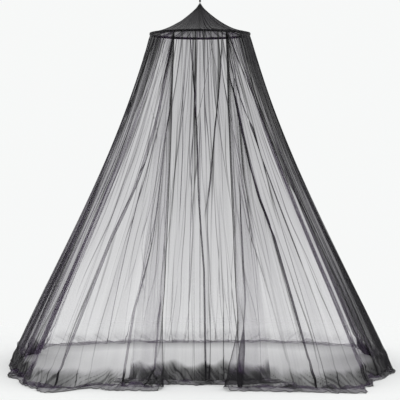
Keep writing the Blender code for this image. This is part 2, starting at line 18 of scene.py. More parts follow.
import bmesh
import bpy
import numpy as np
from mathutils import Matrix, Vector

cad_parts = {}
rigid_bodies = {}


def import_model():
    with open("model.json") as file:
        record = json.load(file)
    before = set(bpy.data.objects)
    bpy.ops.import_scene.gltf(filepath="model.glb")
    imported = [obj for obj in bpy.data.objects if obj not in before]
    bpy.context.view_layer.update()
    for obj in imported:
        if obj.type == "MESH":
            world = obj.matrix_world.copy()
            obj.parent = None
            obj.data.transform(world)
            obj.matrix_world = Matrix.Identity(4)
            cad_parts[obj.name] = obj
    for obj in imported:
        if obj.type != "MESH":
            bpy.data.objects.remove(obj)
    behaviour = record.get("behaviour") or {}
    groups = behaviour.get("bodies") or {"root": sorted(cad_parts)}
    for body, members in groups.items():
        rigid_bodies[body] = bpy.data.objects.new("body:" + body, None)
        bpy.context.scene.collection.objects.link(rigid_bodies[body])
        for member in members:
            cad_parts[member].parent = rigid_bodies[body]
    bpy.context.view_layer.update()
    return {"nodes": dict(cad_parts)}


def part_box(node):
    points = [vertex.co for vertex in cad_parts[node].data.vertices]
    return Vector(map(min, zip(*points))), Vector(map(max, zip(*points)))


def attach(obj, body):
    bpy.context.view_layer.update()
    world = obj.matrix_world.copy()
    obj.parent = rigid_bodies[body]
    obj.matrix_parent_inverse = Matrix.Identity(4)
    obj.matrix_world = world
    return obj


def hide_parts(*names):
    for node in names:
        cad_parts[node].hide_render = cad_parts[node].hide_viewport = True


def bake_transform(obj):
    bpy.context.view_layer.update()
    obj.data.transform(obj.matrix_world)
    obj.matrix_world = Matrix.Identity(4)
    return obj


log = logging.getLogger("bed_net")

Number = Union[float, "Wire"]
Colour = tuple[float, float, float]
Array = np.ndarray


class Side(Enum):
    """The two halves of the net, seen from the front."""

    LEFT = -1
    RIGHT = 1

    @property
    def word(self) -> str:
        """The side's name as the pieces use it."""
        return self.name.lower()


class Weave(Enum):
    """How the threads of a cloth or cord lie."""

    TAPE = "tape"
    BRAID = "braid"


# Arithmetic on shader sockets


class Wire:
    """One output socket of a shader node, with the arithmetic that adds Math nodes."""

    def __init__(self, graph: "Graph", socket: bpy.types.NodeSocket) -> None:
        """Keep the socket and the graph it belongs to."""
        self.graph = graph
        self.socket = socket

    def _math(self, operation: str, first: Number, second: Number) -> "Wire":
        """Add one Math node of two inputs."""
        return self.graph.add("ShaderNodeMath", {"operation": operation}, {0: first, 1: second})

    def __add__(self, other: Number) -> "Wire":
        """This value plus another."""
        return self._math("ADD", self, other)

    __radd__ = __add__

    def __mul__(self, other: Number) -> "Wire":
        """This value times another."""
        return self._math("MULTIPLY", self, other)

    __rmul__ = __mul__

    def __sub__(self, other: Number) -> "Wire":
        """This value less another."""
        return self._math("SUBTRACT", self, other)

    def __rsub__(self, other: Number) -> "Wire":
        """Another value less this one."""
        return self._math("SUBTRACT", other, self)

    def __truediv__(self, other: Number) -> "Wire":
        """This value divided by another."""
        return self._math("DIVIDE", self, other)

    def __rpow__(self, base: float) -> "Wire":
        """A number raised to this value."""
        return self._math("POWER", base, self)

    def sine(self) -> "Wire":
        """The sine of this value in radians."""
        return self._math("SINE", self, 0.0)

    def clamped(self) -> "Wire":
        """This value held between 0 and 1."""
        return self.graph.add("ShaderNodeClamp", {}, {"Value": self})


class Graph:
    """The node tree of one material, built from expressions."""

    def __init__(self, name: str) -> None:
        """Start a material with one Principled surface.

        Args:
            name: the material's name.
        """
        self.material = bpy.data.materials.new(name)
        self.material.use_nodes = True
        self.tree = self.material.node_tree
        self.surface = self.tree.nodes["Principled BSDF"]

    def add(
        self,
        kind: str,
        settings: dict[str, Any],
        inputs: dict[Union[int, str], Any],
        output: Union[int, str] = 0,
    ) -> Wire:
        """Add a node.

        Args:
            kind: the node's type.
            settings: properties that are set before the sockets.
            inputs: values or wires by socket name or place.
            output: the output socket to hand back.

        Returns:
            The chosen output as a wire.
        """
        node = self.tree.nodes.new(kind)
        for key, value in settings.items():
            setattr(node, key, value)
        for key, value in inputs.items():
            self.join(value, node.inputs[key])
        return Wire(self, node.outputs[output])

    def join(self, value: Any, socket: bpy.types.NodeSocket) -> None:
        """Link a wire to a socket, or write a plain value into it.

        Args:
            value: the wire or value.
            socket: where it goes.
        """
        if isinstance(value, Wire):
            self.tree.links.new(value.socket, socket)
        elif socket.type == "RGBA" and len(value) == 3:
            socket.default_value = (*value, 1.0)
        else:
            socket.default_value = value

    def _scaled(self, place: Wire, scale: Sequence[float]) -> Wire:
        """A vector times a scale."""
        return self.add("ShaderNodeVectorMath", {"operation": "MULTIPLY"}, {0: place, 1: scale})

    def cloth_place(self, scale: Sequence[float]) -> Wire:
        """The place on the cloth in metres, from its UV map, times a scale."""
        place = self.add("ShaderNodeUVMap", {"uv_map": PieceMesh.UV_NAME}, {})
        return self._scaled(place, scale)

    def object_place(self, scale: Sequence[float]) -> Wire:
        """The place on the piece in metres, from Object coordinates, times a scale."""
        return self._scaled(self.add("ShaderNodeTexCoord", {}, {}, "Object"), scale)

    def across_along(self, scale: float) -> list[Wire]:
        """The places across and along the cloth in metres, times a scale."""
        place = self.cloth_place((scale, scale, 1.0))
        return [self.add("ShaderNodeSeparateXYZ", {}, {"Vector": place}, axis) for axis in "XY"]

    def noise(self, place: Wire, detail: float = 2.0, roughness: float = 0.5) -> Wire:
        """Soft noise from 0 to 1 at a place that is already scaled."""
        inputs = {"Vector": place, "Scale": 1.0, "Detail": detail, "Roughness": roughness}
        return self.add("ShaderNodeTexNoise", {}, inputs, "Fac")

    def blend(self, share: Number, first: Colour, second: Colour) -> Wire:
        """A colour between two colours."""
        settings = {"data_type": "RGBA", "clamp_factor": True}
        return self.add("ShaderNodeMix", settings, {0: share, 6: first, 7: second}, 2)

    def bump(self, height: Wire, strength: float, distance: float) -> Wire:
        """A surface direction bent by a height."""
        inputs = {"Height": height, "Strength": strength, "Distance": distance}
        return self.add("ShaderNodeBump", {}, inputs, "Normal")

    def finish(self, **sockets: Any) -> bpy.types.Material:
        """Set the surface's sockets.

        Args:
            sockets: values or wires by socket name, underscores for spaces.

        Returns:
            The material.
        """
        for key, value in sockets.items():
            self.join(value, self.surface.inputs[key.replace("_", " ")])
        return self.material


# Finishes


@dataclass(frozen=True)
class NettingFinish:
    """Sheer knitted netting, whose cover grows with how closely the cloth is gathered, and whose
    colour is painted paler where one layer lies and darker, as painted shade, where layers gather
    and crease.

    Args:
        name: the material's name.
        cover: share of the light that one flat layer stops.
        dense_shade: colour where many layers lie together, darkened as painted shade in the gathers
            and creases.
        thin_lit: colour of one layer, painted paler and violet as if lit by the light that comes
            through it.
        streak: how strongly cover varies between the fine streaks.
        crease: how many layers a crease adds.
        fine_pitch: width of the fine streaks in metres of cloth.
        broad_pitch: width of the broad streaks.
        crease_width: width of a crease in metres.
        crease_sets: for each set of creases its distance between lines in metres of cloth, and
            how far it leans.
        crease_wander: how far a crease wanders sideways, in metres.
        mesh_pitch: size of the holes between the yarns.
        mesh_depth: how strongly cover varies between yarns and holes.
    """

    name: str
    cover: float
    dense_shade: Colour = (0.0085, 0.0075, 0.0100)
    thin_lit: Colour = (0.1080, 0.0640, 0.1500)
    streak: float = 0.45
    crease: float = 4.5
    fine_pitch: float = 0.011
    broad_pitch: float = 0.055
    crease_width: float = 0.0042
    crease_sets: tuple[tuple[float, float], ...] = ((0.17, 0.07), (0.22, -0.06), (0.12, 0.0))
    crease_wander: float = 0.16
    mesh_pitch: float = 0.0032
    mesh_depth: float = 0.10

    def _creases(self, graph: Graph) -> Wire:
        """Thin wandering lines where the cloth was folded, in sets that lean and cross.

        Args:
            graph: the material's nodes.

        Returns:
            1 in the middle of a line and 0 beside it.
        """
        across, along = graph.across_along(1.0)
        open_width = along * 0.30 + 0.27
        total: Number = 0.0
        for i, (pitch, slant) in enumerate(self.crease_sets):
            coarse = graph.noise(graph.cloth_place((0.8 + 0.3 * i, 0.9, 1.0)), 1.0)
            wander = (coarse - 0.5) * self.crease_wander
            line = (across + along * slant + wander) / pitch + 7.3 * (i + 1)
            settings = {"voronoi_dimensions": "1D", "feature": "DISTANCE_TO_EDGE"}
            inputs = {"W": line, "Scale": 1.0, "Randomness": 1.0}
            off_line = graph.add("ShaderNodeTexVoronoi", settings, inputs, "Distance")
            beside = off_line * open_width * (pitch / self.crease_width)
            chance = graph.noise(graph.cloth_place((2.1 + i, 0.8, 1.0)), 1.0)
            shown = ((chance - 0.38 - along * 0.05) * 5.0).clamped()
            total = (1.0 - beside).clamped() * shown + total
        return total

    def material(self) -> bpy.types.Material:
        """Build the material.

        Returns:
            A see-through material that reads the cloth's UV map and its "gather" attribute.
        """
        graph = Graph(self.name)
        fine = graph.noise(graph.cloth_place((1 / self.fine_pitch, 0.9, 1.0)), 3.0, 0.65)
        broad = graph.noise(graph.cloth_place((1 / self.broad_pitch, 0.7, 1.0)), 2.0)
        gather = graph.add(
            "ShaderNodeAttribute", {"attribute_name": SheetMesh.GATHER_NAME}, {}, "Fac"
        )
        across, along = graph.across_along(math.tau / self.mesh_pitch)
        mesh = (across + along).sine() * (across - along).sine()
        streaks = (fine - 0.5) * (2 * self.streak) + (broad - 0.5) * (2 * self.streak) + 1.0
        creases = self._creases(graph) * self.crease + 1.0
        layers = gather * streaks * creases * (mesh * self.mesh_depth + 1.0)
        cover = (1.0 - (1.0 - self.cover) ** layers).clamped()
        # Painted light and shade: the colour goes from a paler violet where one layer lies to near
        # black where layers gather, crease or pool, so folds are darkened in the colour itself
        colour = graph.blend(cover * 1.75 + fine * 0.2 - 0.16, self.thin_lit, self.dense_shade)
        material = graph.finish(
            Base_Color=colour,
            Alpha=cover,
            Roughness=fine * 0.2 + 0.62,
            Normal=graph.bump(fine, 0.25, 0.002),
            Sheen_Weight=0.08,
            Sheen_Roughness=0.5,
            Specular_IOR_Level=0.2,
        )
        material.surface_render_method = "BLENDED"
        return material


@dataclass(frozen=True)
class YarnFinish:
    """Woven tape or braided cord.

    Args:
        name: the material's name.
        weave: how the threads lie.
        dark: colour between the threads, painted shade in the hollows of the weave.
        pale: colour on top of the threads, painted light on their raised tops.
        pitch: distance between threads in metres.
    """

    name: str
    weave: Weave
    dark: Colour = (0.0030, 0.0030, 0.0033)
    pale: Colour = (0.0120, 0.0115, 0.0125)
    pitch: float = 0.0011

    def material(self) -> bpy.types.Material:
        """Build the material.

        Returns:
            A matt woven material on the piece's UV map, which is in metres.
        """
        graph = Graph(self.name)
        across, along = graph.across_along(math.tau / self.pitch)
        if self.weave is Weave.BRAID:
            threads = (across + along).sine() * (along - across).sine()
        else:
            threads = across.sine() * (along * 0.5).sine()
        height = threads * 0.5 + 0.5
        wear = graph.noise(graph.object_place((60.0, 60.0, 60.0)), 3.0)
        # Painted shade and light: the colour follows the threads' relief, darker in the hollows and
        # paler on the tops; the wear noise is the yarn's own uneven tone
        colour = graph.blend(height * 0.7 + wear * 0.3, self.dark, self.pale)
        return graph.finish(
            Base_Color=colour,
            Roughness=wear * 0.15 + 0.75,
            Normal=graph.bump(height, 0.6, 0.0004),
            Sheen_Weight=0.05,
            Specular_IOR_Level=0.25,
        )


@dataclass(frozen=True)
class MetalFinish:
    """Drawn wire or tube, bare or coated.

    Args:
        name: the material's name.
        dark: colour in the scuffs and drawing lines.
        pale: colour of the clean surface.
        metallic: 1 for bare metal, 0 for a coat.
        roughness: the clean surface's roughness.
    """

    name: str
    dark: Colour
    pale: Colour
    metallic: float = 1.0
    roughness: float = 0.24

    def material(self) -> bpy.types.Material:
        """Build the material.

        Returns:
            A metal with drawing lines along Z, soft stains and fine scuffs.
        """
        graph = Graph(self.name)
        lines = graph.noise(graph.object_place((2200.0, 2200.0, 160.0)), 3.0, 0.6)
        stains = graph.noise(graph.object_place((140.0, 140.0, 140.0)), 4.0, 0.6)
        share = lines * 0.35 + stains * 0.65
        return graph.finish(
            Base_Color=graph.blend(share, self.dark, self.pale),
            Roughness=(1.0 - stains) * 0.3 + (self.roughness - 0.1),
            Normal=graph.bump(lines, 0.12, 0.0002),
            Metallic=self.metallic,
        )


@dataclass(frozen=True)
class MouldedFinish:
    """Moulded plastic, foam or glass fibre rod.

    Args:
        name: the material's name.
        dark: colour in the grain.
        pale: colour of the surface.
        grain: size of the grain in metres.
        roughness: the surface's roughness.
        relief: strength of the grain's relief.
    """

    name: str
    dark: Colour
    pale: Colour
    grain: float = 0.0009
    roughness: float = 0.42
    relief: float = 0.15

    def material(self) -> bpy.types.Material:
        """Build the material.

        Returns:
            A matt material with a fine grain and faint stains.
        """
        graph = Graph(self.name)
        scale = 1 / self.grain
        grain = graph.noise(graph.object_place((scale, scale, scale)), 4.0, 0.6)
        stains = graph.noise(graph.object_place((90.0, 90.0, 90.0)), 3.0)
        return graph.finish(
            Base_Color=graph.blend(grain * 0.5 + stains * 0.5, self.dark, self.pale),
            Roughness=grain * 0.2 + self.roughness,
            Normal=graph.bump(grain, self.relief, 0.0003),
        )


class Palette:
    """Every finish on the net, built once."""

    def __init__(self) -> None:
        """Build the materials."""
        steel = ((0.42, 0.42, 0.41), (0.66, 0.66, 0.64))
        self.netting = NettingFinish("netting", cover=0.11).material()
        # The roof netting's colour for one layer is painted light and its gathered colour painted
        # shade, as on the netting below
        self.roof_netting = NettingFinish(
            "roof_netting", cover=0.53, thin_lit=(0.046, 0.042, 0.052), streak=0.25, crease=0.5
        ).material()
        self.tape = YarnFinish("tape", Weave.TAPE).material()
        self.cord = YarnFinish("cord", Weave.BRAID, pitch=0.0016).material()
        self.hook = MetalFinish("hook_steel", *steel).material()
        self.ferrule = MetalFinish("ferrule_steel", *steel, roughness=0.32).material()
        self.ring = MetalFinish(
            "ring_coat", (0.02, 0.02, 0.021), (0.05, 0.05, 0.052), 0.0, 0.38
        ).material()
        self.rod = MouldedFinish("hoop_rod", (0.05, 0.05, 0.05), (0.11, 0.11, 0.11)).material()
        self.plate = MouldedFinish(
            "plate_plastic", (0.70, 0.70, 0.68), (0.80, 0.80, 0.78), grain=0.0006
        ).material()
        self.foam = MouldedFinish(
            "pad_foam", (0.62, 0.62, 0.60), (0.80, 0.80, 0.78), 0.0012, 0.8, 0.6
        ).material()


# Shapes in numbers


def mix(first: Any, second: Any, share: Any) -> Any:
    """The value at a share of the way between two values."""
    return first + (second - first) * share


def ease(share: Any) -> Any:
    """A step from 0 to 1 that starts and ends level."""
    share = np.clip(share, 0.0, 1.0)
    return share * share * (3 - 2 * share)


def rise(value: Any, start: Any, width: Any) -> Any:
    """A step from 0 to 1 that begins at a start and takes a width."""
    return ease((value - start) / width)


def bell(value: Any, width: Any) -> Any:
    """1 where a value is 0, and next to nothing two widths away from there."""
    return np.exp(-((value / width) ** 2))


def joined(*parts: Any) -> Array:
    """Vectors from their parts, which are spread to one shape."""
    return np.stack(np.broadcast_arrays(*parts), axis=-1).astype(float)


def circle(angle: Any, radius: Any, height: Any = 0.0) -> Array:
    """Points at angles from the front in radians, radii and heights."""
    return joined(radius * np.sin(angle), -radius * np.cos(angle), height)


def around(azimuth: Any, radius: Any, height: Any = 0.0) -> Array:
    """Points at azimuths in degrees, radii and heights."""
    return circle(np.radians(azimuth), radius, height)


def up(height: Any) -> Array:
    """Vectors along Z."""
    return joined(0.0, 0.0, height)


def run(line: Array) -> Array:
    """The distance along a line to each of its points."""
    return np.concatenate([[0.0], np.cumsum(np.linalg.norm(np.diff(line, axis=0), axis=-1))])


def in_scene(name: str, data: bpy.types.ID) -> bpy.types.Object:
    """A new object at the origin.

    Args:
        name: its name.
        data: its mesh, light or camera.

    Returns:
        The object.
    """
    item = bpy.data.objects.new(name, data)
    bpy.context.scene.collection.objects.link(item)
    return item


class Waves:
    """Smooth uneven waves along a line, from a few sines of seeded lengths."""

    def __init__(self, seed: int, lowest: float, highest: float, count: int = 6) -> None:
        """Choose the waves.

        Args:
            seed: fixes the choice.
            lowest: lowest number of waves per unit.
            highest: highest number of waves per unit.
            count: how many sines are added.
        """
        rng = np.random.default_rng(seed)
        self.rates = np.geomspace(lowest, highest, count) * rng.uniform(0.85, 1.15, count)
        self.starts = rng.uniform(0, math.tau, count)
        self.drifts = rng.uniform(-1.0, 1.0, count)
        self.weights = rng.uniform(0.6, 1.0, count) / np.sqrt(count)

    def at(self, place: Array, drift: Union[Array, float] = 0.0) -> Array:
        """The waves' height.

        Args:
            place: where along the line.
            drift: slides the waves sideways as it grows.

        Returns:
            Heights, about -1 to 1.
        """
        place = np.asarray(place, float)
        total = np.zeros(np.broadcast(place, drift).shape)
        for rate, start, slide, weight in zip(self.rates, self.starts, self.drifts, self.weights):
            total = total + weight * np.sin(math.tau * rate * place + start + slide * drift)
        return total


class PieceMesh:
    """What sheets and tubes have in common."""

    UV_NAME = "cloth"

    @classmethod
    def finish(
        cls, mesh: bpy.types.Mesh, places: Array, material: bpy.types.Material
    ) -> bpy.types.Object:
        """Smooth a mesh, give it its UV map and its finish, and put it into the scene.

        Args:
            mesh: the mesh.
            places: for each vertex its place on the cloth, in metres.
            material: its finish.

        Returns:
            The piece, at the origin.
        """
        mesh.shade_smooth()
        layer = mesh.uv_layers.new(name=cls.UV_NAME)
        corners = np.zeros(len(mesh.loops), np.int32)
        mesh.loops.foreach_get("vertex_index", corners)
        layer.data.foreach_set("uv", places[corners].astype(np.float32).ravel())
        mesh.materials.append(material)
        return in_scene(mesh.name, mesh)


class SheetMesh(PieceMesh):
    """A single layer of cloth as a grid of faces, with its UV map in metres and its gathers."""

    GATHER_NAME = "gather"

    @classmethod
    def make(
        cls,
        name: str,
        points: Array,
        cloth: Array,
        material: bpy.types.Material,
        gather: Union[Array, float] = 1.0,
    ) -> bpy.types.Object:
        """Build the mesh.

        Args:
            name: the piece's name.
            points: rows by columns of places.
            cloth: rows by columns of places on the cloth, in metres.
            material: its finish.
            gather: rows by columns of how closely the cloth is gathered.

        Returns:
            The piece, at the origin.
        """
        rows, columns = points.shape[:2]
        corner = np.arange(rows * columns).reshape(rows, columns)
        faces = np.stack(
            [corner[:-1, :-1], corner[:-1, 1:], corner[1:, 1:], corner[1:, :-1]], axis=-1
        ).reshape(-1, 4)
        flat = points.reshape(-1, 3)
        middle = flat[faces].mean(axis=1)
        normal = np.cross(
            flat[faces[:, 2]] - flat[faces[:, 0]], flat[faces[:, 3]] - flat[faces[:, 1]]
        )
        away = middle * (1.0, 1.0, 0.0) + up(np.full(len(middle), 0.3))
        if float((normal * away).sum()) < 0:
            faces = faces[:, ::-1]
        mesh = bpy.data.meshes.new(name)
        mesh.from_pydata(flat.tolist(), [], faces.tolist())
        piece = cls.finish(mesh, cloth.reshape(-1, 2), material)
        attribute = mesh.attributes.new(cls.GATHER_NAME, "FLOAT", "POINT")
        values = np.broadcast_to(gather, points.shape[:2]).astype(np.float32)
        attribute.data.foreach_set("value", values.ravel())
        return piece


class TubeMesh(PieceMesh):
    """A round cord or rolled hem along a line, closed at its ends, with its UV map in metres."""

    @staticmethod
    def frames(line: Array) -> tuple[Array, Array]:
        """Directions across a line, carried along it without a twist.

        Args:
            line: its points.

        Returns:
            Two directions at each point.
        """
        along = np.gradient(line, axis=0)
        along /= np.linalg.norm(along, axis=1, keepdims=True)
        first = np.zeros_like(line)
        start = np.array((0.0, 0.0, 1.0)) if abs(along[0, 2]) < 0.9 else np.array((1.0, 0.0, 0.0))
        side = np.cross(along[0], start)
        for i, direction in enumerate(along):
            side = side - direction * side.dot(direction)
            side /= np.linalg.norm(side)
            first[i] = side
        return first, np.cross(along, first)

    @classmethod
    def make(
        cls,
        name: str,
        line: Array,
        radius: Union[float, Array],
        sides: int,
        material: bpy.types.Material,
    ) -> bpy.types.Object:
        """Build the tube.

        Args:
            name: the piece's name.
            line: the points that it follows.
            radius: one radius, or points by sides of radii.
            sides: faces round it.
            material: its finish.

        Returns:
            The piece, at the origin.
        """
        first, second = cls.frames(line)
        turn = np.linspace(0, math.tau, sides, endpoint=False)
        radii = np.broadcast_to(radius, (len(line), sides))[..., None]
        ring = first[:, None] * np.cos(turn)[None, :, None]
        ring = ring + second[:, None] * np.sin(turn)[None, :, None]
        points = line[:, None] + ring * radii
        corner = np.arange(len(line) * sides).reshape(len(line), sides)
        beside = np.roll(corner, -1, axis=1)
        faces = np.stack([corner[:-1], beside[:-1], beside[1:], corner[1:]], axis=-1)
        faces = faces.reshape(-1, 4).tolist()
        faces += [corner[0, ::-1].tolist(), corner[-1].tolist()]
        mesh = bpy.data.meshes.new(name)
        mesh.from_pydata(points.reshape(-1, 3).tolist(), [], faces)
        shape = bmesh.new()
        shape.from_mesh(mesh)
        bmesh.ops.recalc_face_normals(shape, faces=shape.faces)
        shape.to_mesh(mesh)
        shape.free()
        size = float(np.mean(radii)) * math.tau
        places = joined(np.arange(sides) / sides * size, run(line)[:, None])
        return cls.finish(mesh, places.reshape(-1, 2), material)


# The net's own form, as the frame has it


@dataclass(frozen=True)
class NetSizes:
    """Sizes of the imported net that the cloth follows."""

    hoop_radius: float = 0.325
    hoop_z: float = -0.354
    casing_lip: float = -0.364
    casing_outer: float = 0.0044
    heading_top: float = -0.35715
    outer_heading: float = 0.3281
    inner_heading: float = 0.3234
    collar_top: float = -0.1567
    collar_bottom: float = -0.1847
    collar_rim: float = 0.0215
    collar_neck: float = 0.0078
    floor: float = -2.514
    pool_z: float = -2.51175
    drape_sag: float = 0.36
    fold_depth: float = 0.045
    fold_share: float = 0.30
    fold_sharpness: float = 1.5
    fold_growth: float = 0.8
    hinge_taut: float = 1.1
    flap_folds: int = 3
    curtain_folds: int = 6
    back_folds: int = 5
    fold_drift: float = 0.16
    fold_drift_rate: float = 2.4
    pool_rise: float = 0.25
    edge_at_hoop: float = 30.0
    hinge_at_hoop: float = 31.5
    edge_at_hem: float = 10.5
    hinge_at_hem: float = 37.0
    hem_reach: float = 1.38

    @property
    def seam(self) -> int:
        """Fold count from the free edge to the side seam."""
        return self.flap_folds + self.curtain_folds

    @property
    def last(self) -> int:
        """Fold count from the free edge to the middle of the back."""
        return self.seam + self.back_folds


SIZES = NetSizes()

# Direction of the hem from the front in degrees, then as shares of hem_reach how far it lies from
# the middle of the net and how much of that lies on the floor
HEM_OUTLINE = np.array(
    (
        (-180, 1.000, 0.087),
        (-157, 1.087, 0.109),
        (-136, 1.145, 0.101),
        (-112, 0.950, 0.070),
        (-90, 0.896, 0.028),
        (-72, 0.918, 0.038),
        (-54, 1.022, 0.075),
        (-37, 1.130, 0.000),
        (-30, 1.159, 0.109),
        (-26, 0.964, 0.058),
        (-21, 1.029, 0.101),
        (-12, 1.007, 0.094),
        (12, 1.014, 0.087),
        (22, 1.087, 0.109),
        (31, 1.188, 0.094),
        (37, 1.123, 0.000),
        (48, 1.029, 0.072),
        (62, 0.975, 0.052),
        (84, 0.892, 0.028),
        (108, 0.926, 0.062),
        (134, 1.138, 0.101),
        (158, 1.094, 0.094),
        (180, 1.000, 0.087),
    )
)


def hem_reach(azimuth: Array) -> tuple[Array, Array]:
    """How far the hem reaches, and how much of that lies on the floor.

    Args:
        azimuth: directions from the front in degrees.

    Returns:
        The reach and the lying part, both in metres.
    """
    azimuth = (azimuth + 180.0) % 360.0 - 180.0
    stops = HEM_OUTLINE[:, 0]
    before = np.clip(np.searchsorted(stops, azimuth, side="right") - 1, 0, len(stops) - 2)
    share = ease((azimuth - stops[before]) / (stops[before + 1] - stops[before]))
    reach = mix(HEM_OUTLINE[before, 1], HEM_OUTLINE[before + 1, 1], share)
    pool = mix(HEM_OUTLINE[before, 2], HEM_OUTLINE[before + 1, 2], share)
    return reach * SIZES.hem_reach, pool * SIZES.hem_reach


def drape(share: Array) -> Array:
    """Share of the way out from the hoop to the floor line at a share of the way down."""
    hollow = 0.22 * share**2 * (1 - share) ** 2
    return share - SIZES.drape_sag * share * (1 - share) ** 2 - hollow


def fold_height(q: Array) -> Array:
    """0 in the valleys between folds and 1 on a fold's crest."""
    return np.abs(np.sin(math.pi * q)) ** (2 * SIZES.fold_sharpness)


def hung(
    ends: tuple[Array, Array, Array], out: Array, row: Array, depth: Array, azimuth: Array
) -> Array:
    """Points on a cloth that hangs from the hoop and ends on the floor.

    Args:
        ends: places under the hoop, where the cloth meets the floor, and at the hem.
        out: share of the way from the first of these to the second.
        row: -1 in the heading, 0 at the casing's lip, 1 at the floor, 2 at the hem.
        depth: how far the main folds stand out.
        azimuth: the direction that they stand out to.

    Returns:
        The points as one array.
    """
    s = SIZES
    start, contact, tip = ends
    lying = np.clip(row - 1, 0.0, 1.0)
    place = mix(start, contact, out[..., None])
    place = np.where((row > 1)[..., None], mix(contact, tip, lying[..., None]), place)
    height = mix(s.casing_lip, s.pool_z, np.clip(row, 0.0, 1.0))
    height = height + depth * s.pool_rise * lying * (1 - lying) * 4
    heading = mix(s.casing_lip, s.heading_top, np.clip(-row, 0.0, 1.0))
    height = np.where(row <= 0, heading, height)
    return place + around(azimuth, 1.0) * depth[..., None] + up(height)


@dataclass(frozen=True)
class OuterNetting:
    """The outer netting of one side, from its free edge round to the middle of the back."""

    side: Side

    def fold_place(self, q: Array) -> tuple[Array, Array]:
        """Where a fold runs.

        Args:
            q: folds from the free edge.

        Returns:
            Azimuths at the hoop and at the hem, in degrees.
        """
        s = SIZES
        share = q / s.flap_folds
        total = s.last - s.flap_folds
        along = q - s.flap_folds
        drift = s.fold_drift * np.sin(s.fold_drift_rate * along) * np.sin(math.pi * along / total)
        rest = (along + drift) / total
        at_hoop, at_hem = (
            np.where(q <= s.flap_folds, mix(edge, hinge, share), mix(hinge, 180.0, rest))
            for edge, hinge in (
                (s.edge_at_hoop, s.hinge_at_hoop),
                (s.edge_at_hem, s.hinge_at_hem),
            )
        )
        return at_hoop, at_hem

    def points(self, q: Array, row: Array, folds: float = 1.0) -> Array:
        """Points on the cloth.

        Args:
            q: folds from the free edge.
            row: -1 in the heading, 0 at the casing's lip, 1 at the floor, 2 at the hem.
            folds: how much of the main folds' depth to keep.

        Returns:
            The points as one array.
        """
        s = SIZES
        side = self.side.value
        at_hoop, at_hem = self.fold_place(q)
        reach, pool = hem_reach(side * at_hem)
        start = around(side * at_hoop, s.outer_heading)
        contact = around(side * at_hem, reach - pool)
        next_hoop, next_hem = self.fold_place(np.where(q + 0.5 <= s.flap_folds, q + 0.5, q - 0.5))
        share = np.clip(row, 0.0, 1.0)
        taut = ease(1 - np.abs(q - s.flap_folds) / s.hinge_taut)
        out = mix(drape(share), share, taut)
        spread = 2 * np.radians(mix(np.abs(next_hoop - at_hoop), np.abs(next_hem - at_hem), out))
        room = spread * np.linalg.norm(mix(start, contact, out[..., None]), axis=-1)
        depth = np.minimum(s.fold_depth * out**s.fold_growth, s.fold_share * room)
        depth = depth * fold_height(q) * folds
        ends = (start, contact, around(side * at_hem, reach))
        return hung(ends, out, row, depth, side * at_hem)


@dataclass(frozen=True)
class InnerNetting:
    """The inner panel behind the entrance."""

    at_hoop: float = 46.0
    at_hem: float = 27.0
    reach: float = 1.045
    pool: float = 0.10
    panel_folds: int = 5
    fold_depth: float = 0.022

    def points(self, q: Array, row: Array, folds: float = 1.0) -> Array:
        """Points on the cloth.

        Args:
            q: folds from its left edge.
            row: the rows, as in the outer netting.
            folds: how much of the main folds' depth to keep.

        Returns:
            The points as one array.
        """
        across = 2 * q / self.panel_folds - 1
        azimuth = self.at_hem * across
        ends = (
            around(self.at_hoop * across, SIZES.inner_heading),
            around(azimuth, self.reach - self.pool),
            around(azimuth, self.reach),
        )
        out = drape(np.clip(row, 0.0, 1.0))
        depth = self.fold_depth * out * fold_height(q) * folds
        return hung(ends, out, row, depth, azimuth)


@dataclass(frozen=True)
class Pleat:
    """A narrow fold that lies flat on the cloth, so that its layers show as one dark line.

    Args:
        way: the (row, place) pairs that it passes, places in folds across the cloth.
        width: half its width in metres where the cloth is at its widest.
        strength: 0 for none, 1 for full.
        overlap: how far its layers lie over each other.
        layers: how many layers it lays on the cloth.
        room: the greatest share of the space between two main folds that half its width takes.
        at_hoop: its width at the hoop as a share of its width.
    """

    way: tuple[tuple[float, float], ...]
    width: float = 0.012
    strength: float = 1.0
    overlap: float = 2.6
    layers: float = 2.8
    room: float = 0.2
    at_hoop: float = 0.45

    def place(self, row: Array) -> Array:
        """Its place across the cloth at each row."""
        rows, places = zip(*self.way)
        return np.interp(row, rows, places)

    def presence(self, row: Array) -> Array:
        """How strong it is, from its first row to its last.

        Args:
            row: the rows.

        Returns:
            0 for none, up to its strength.
        """
        first = self.way[0][0]
        last = self.way[-1][0]
        begin = rise(row, first, 0.10) if first > 0 else ease(row / 0.015)
        end = ease((last - row) / 0.10) if last < 2 else 1 - 0.8 * rise(row, 0.96, 0.12)
        return self.strength * begin * end


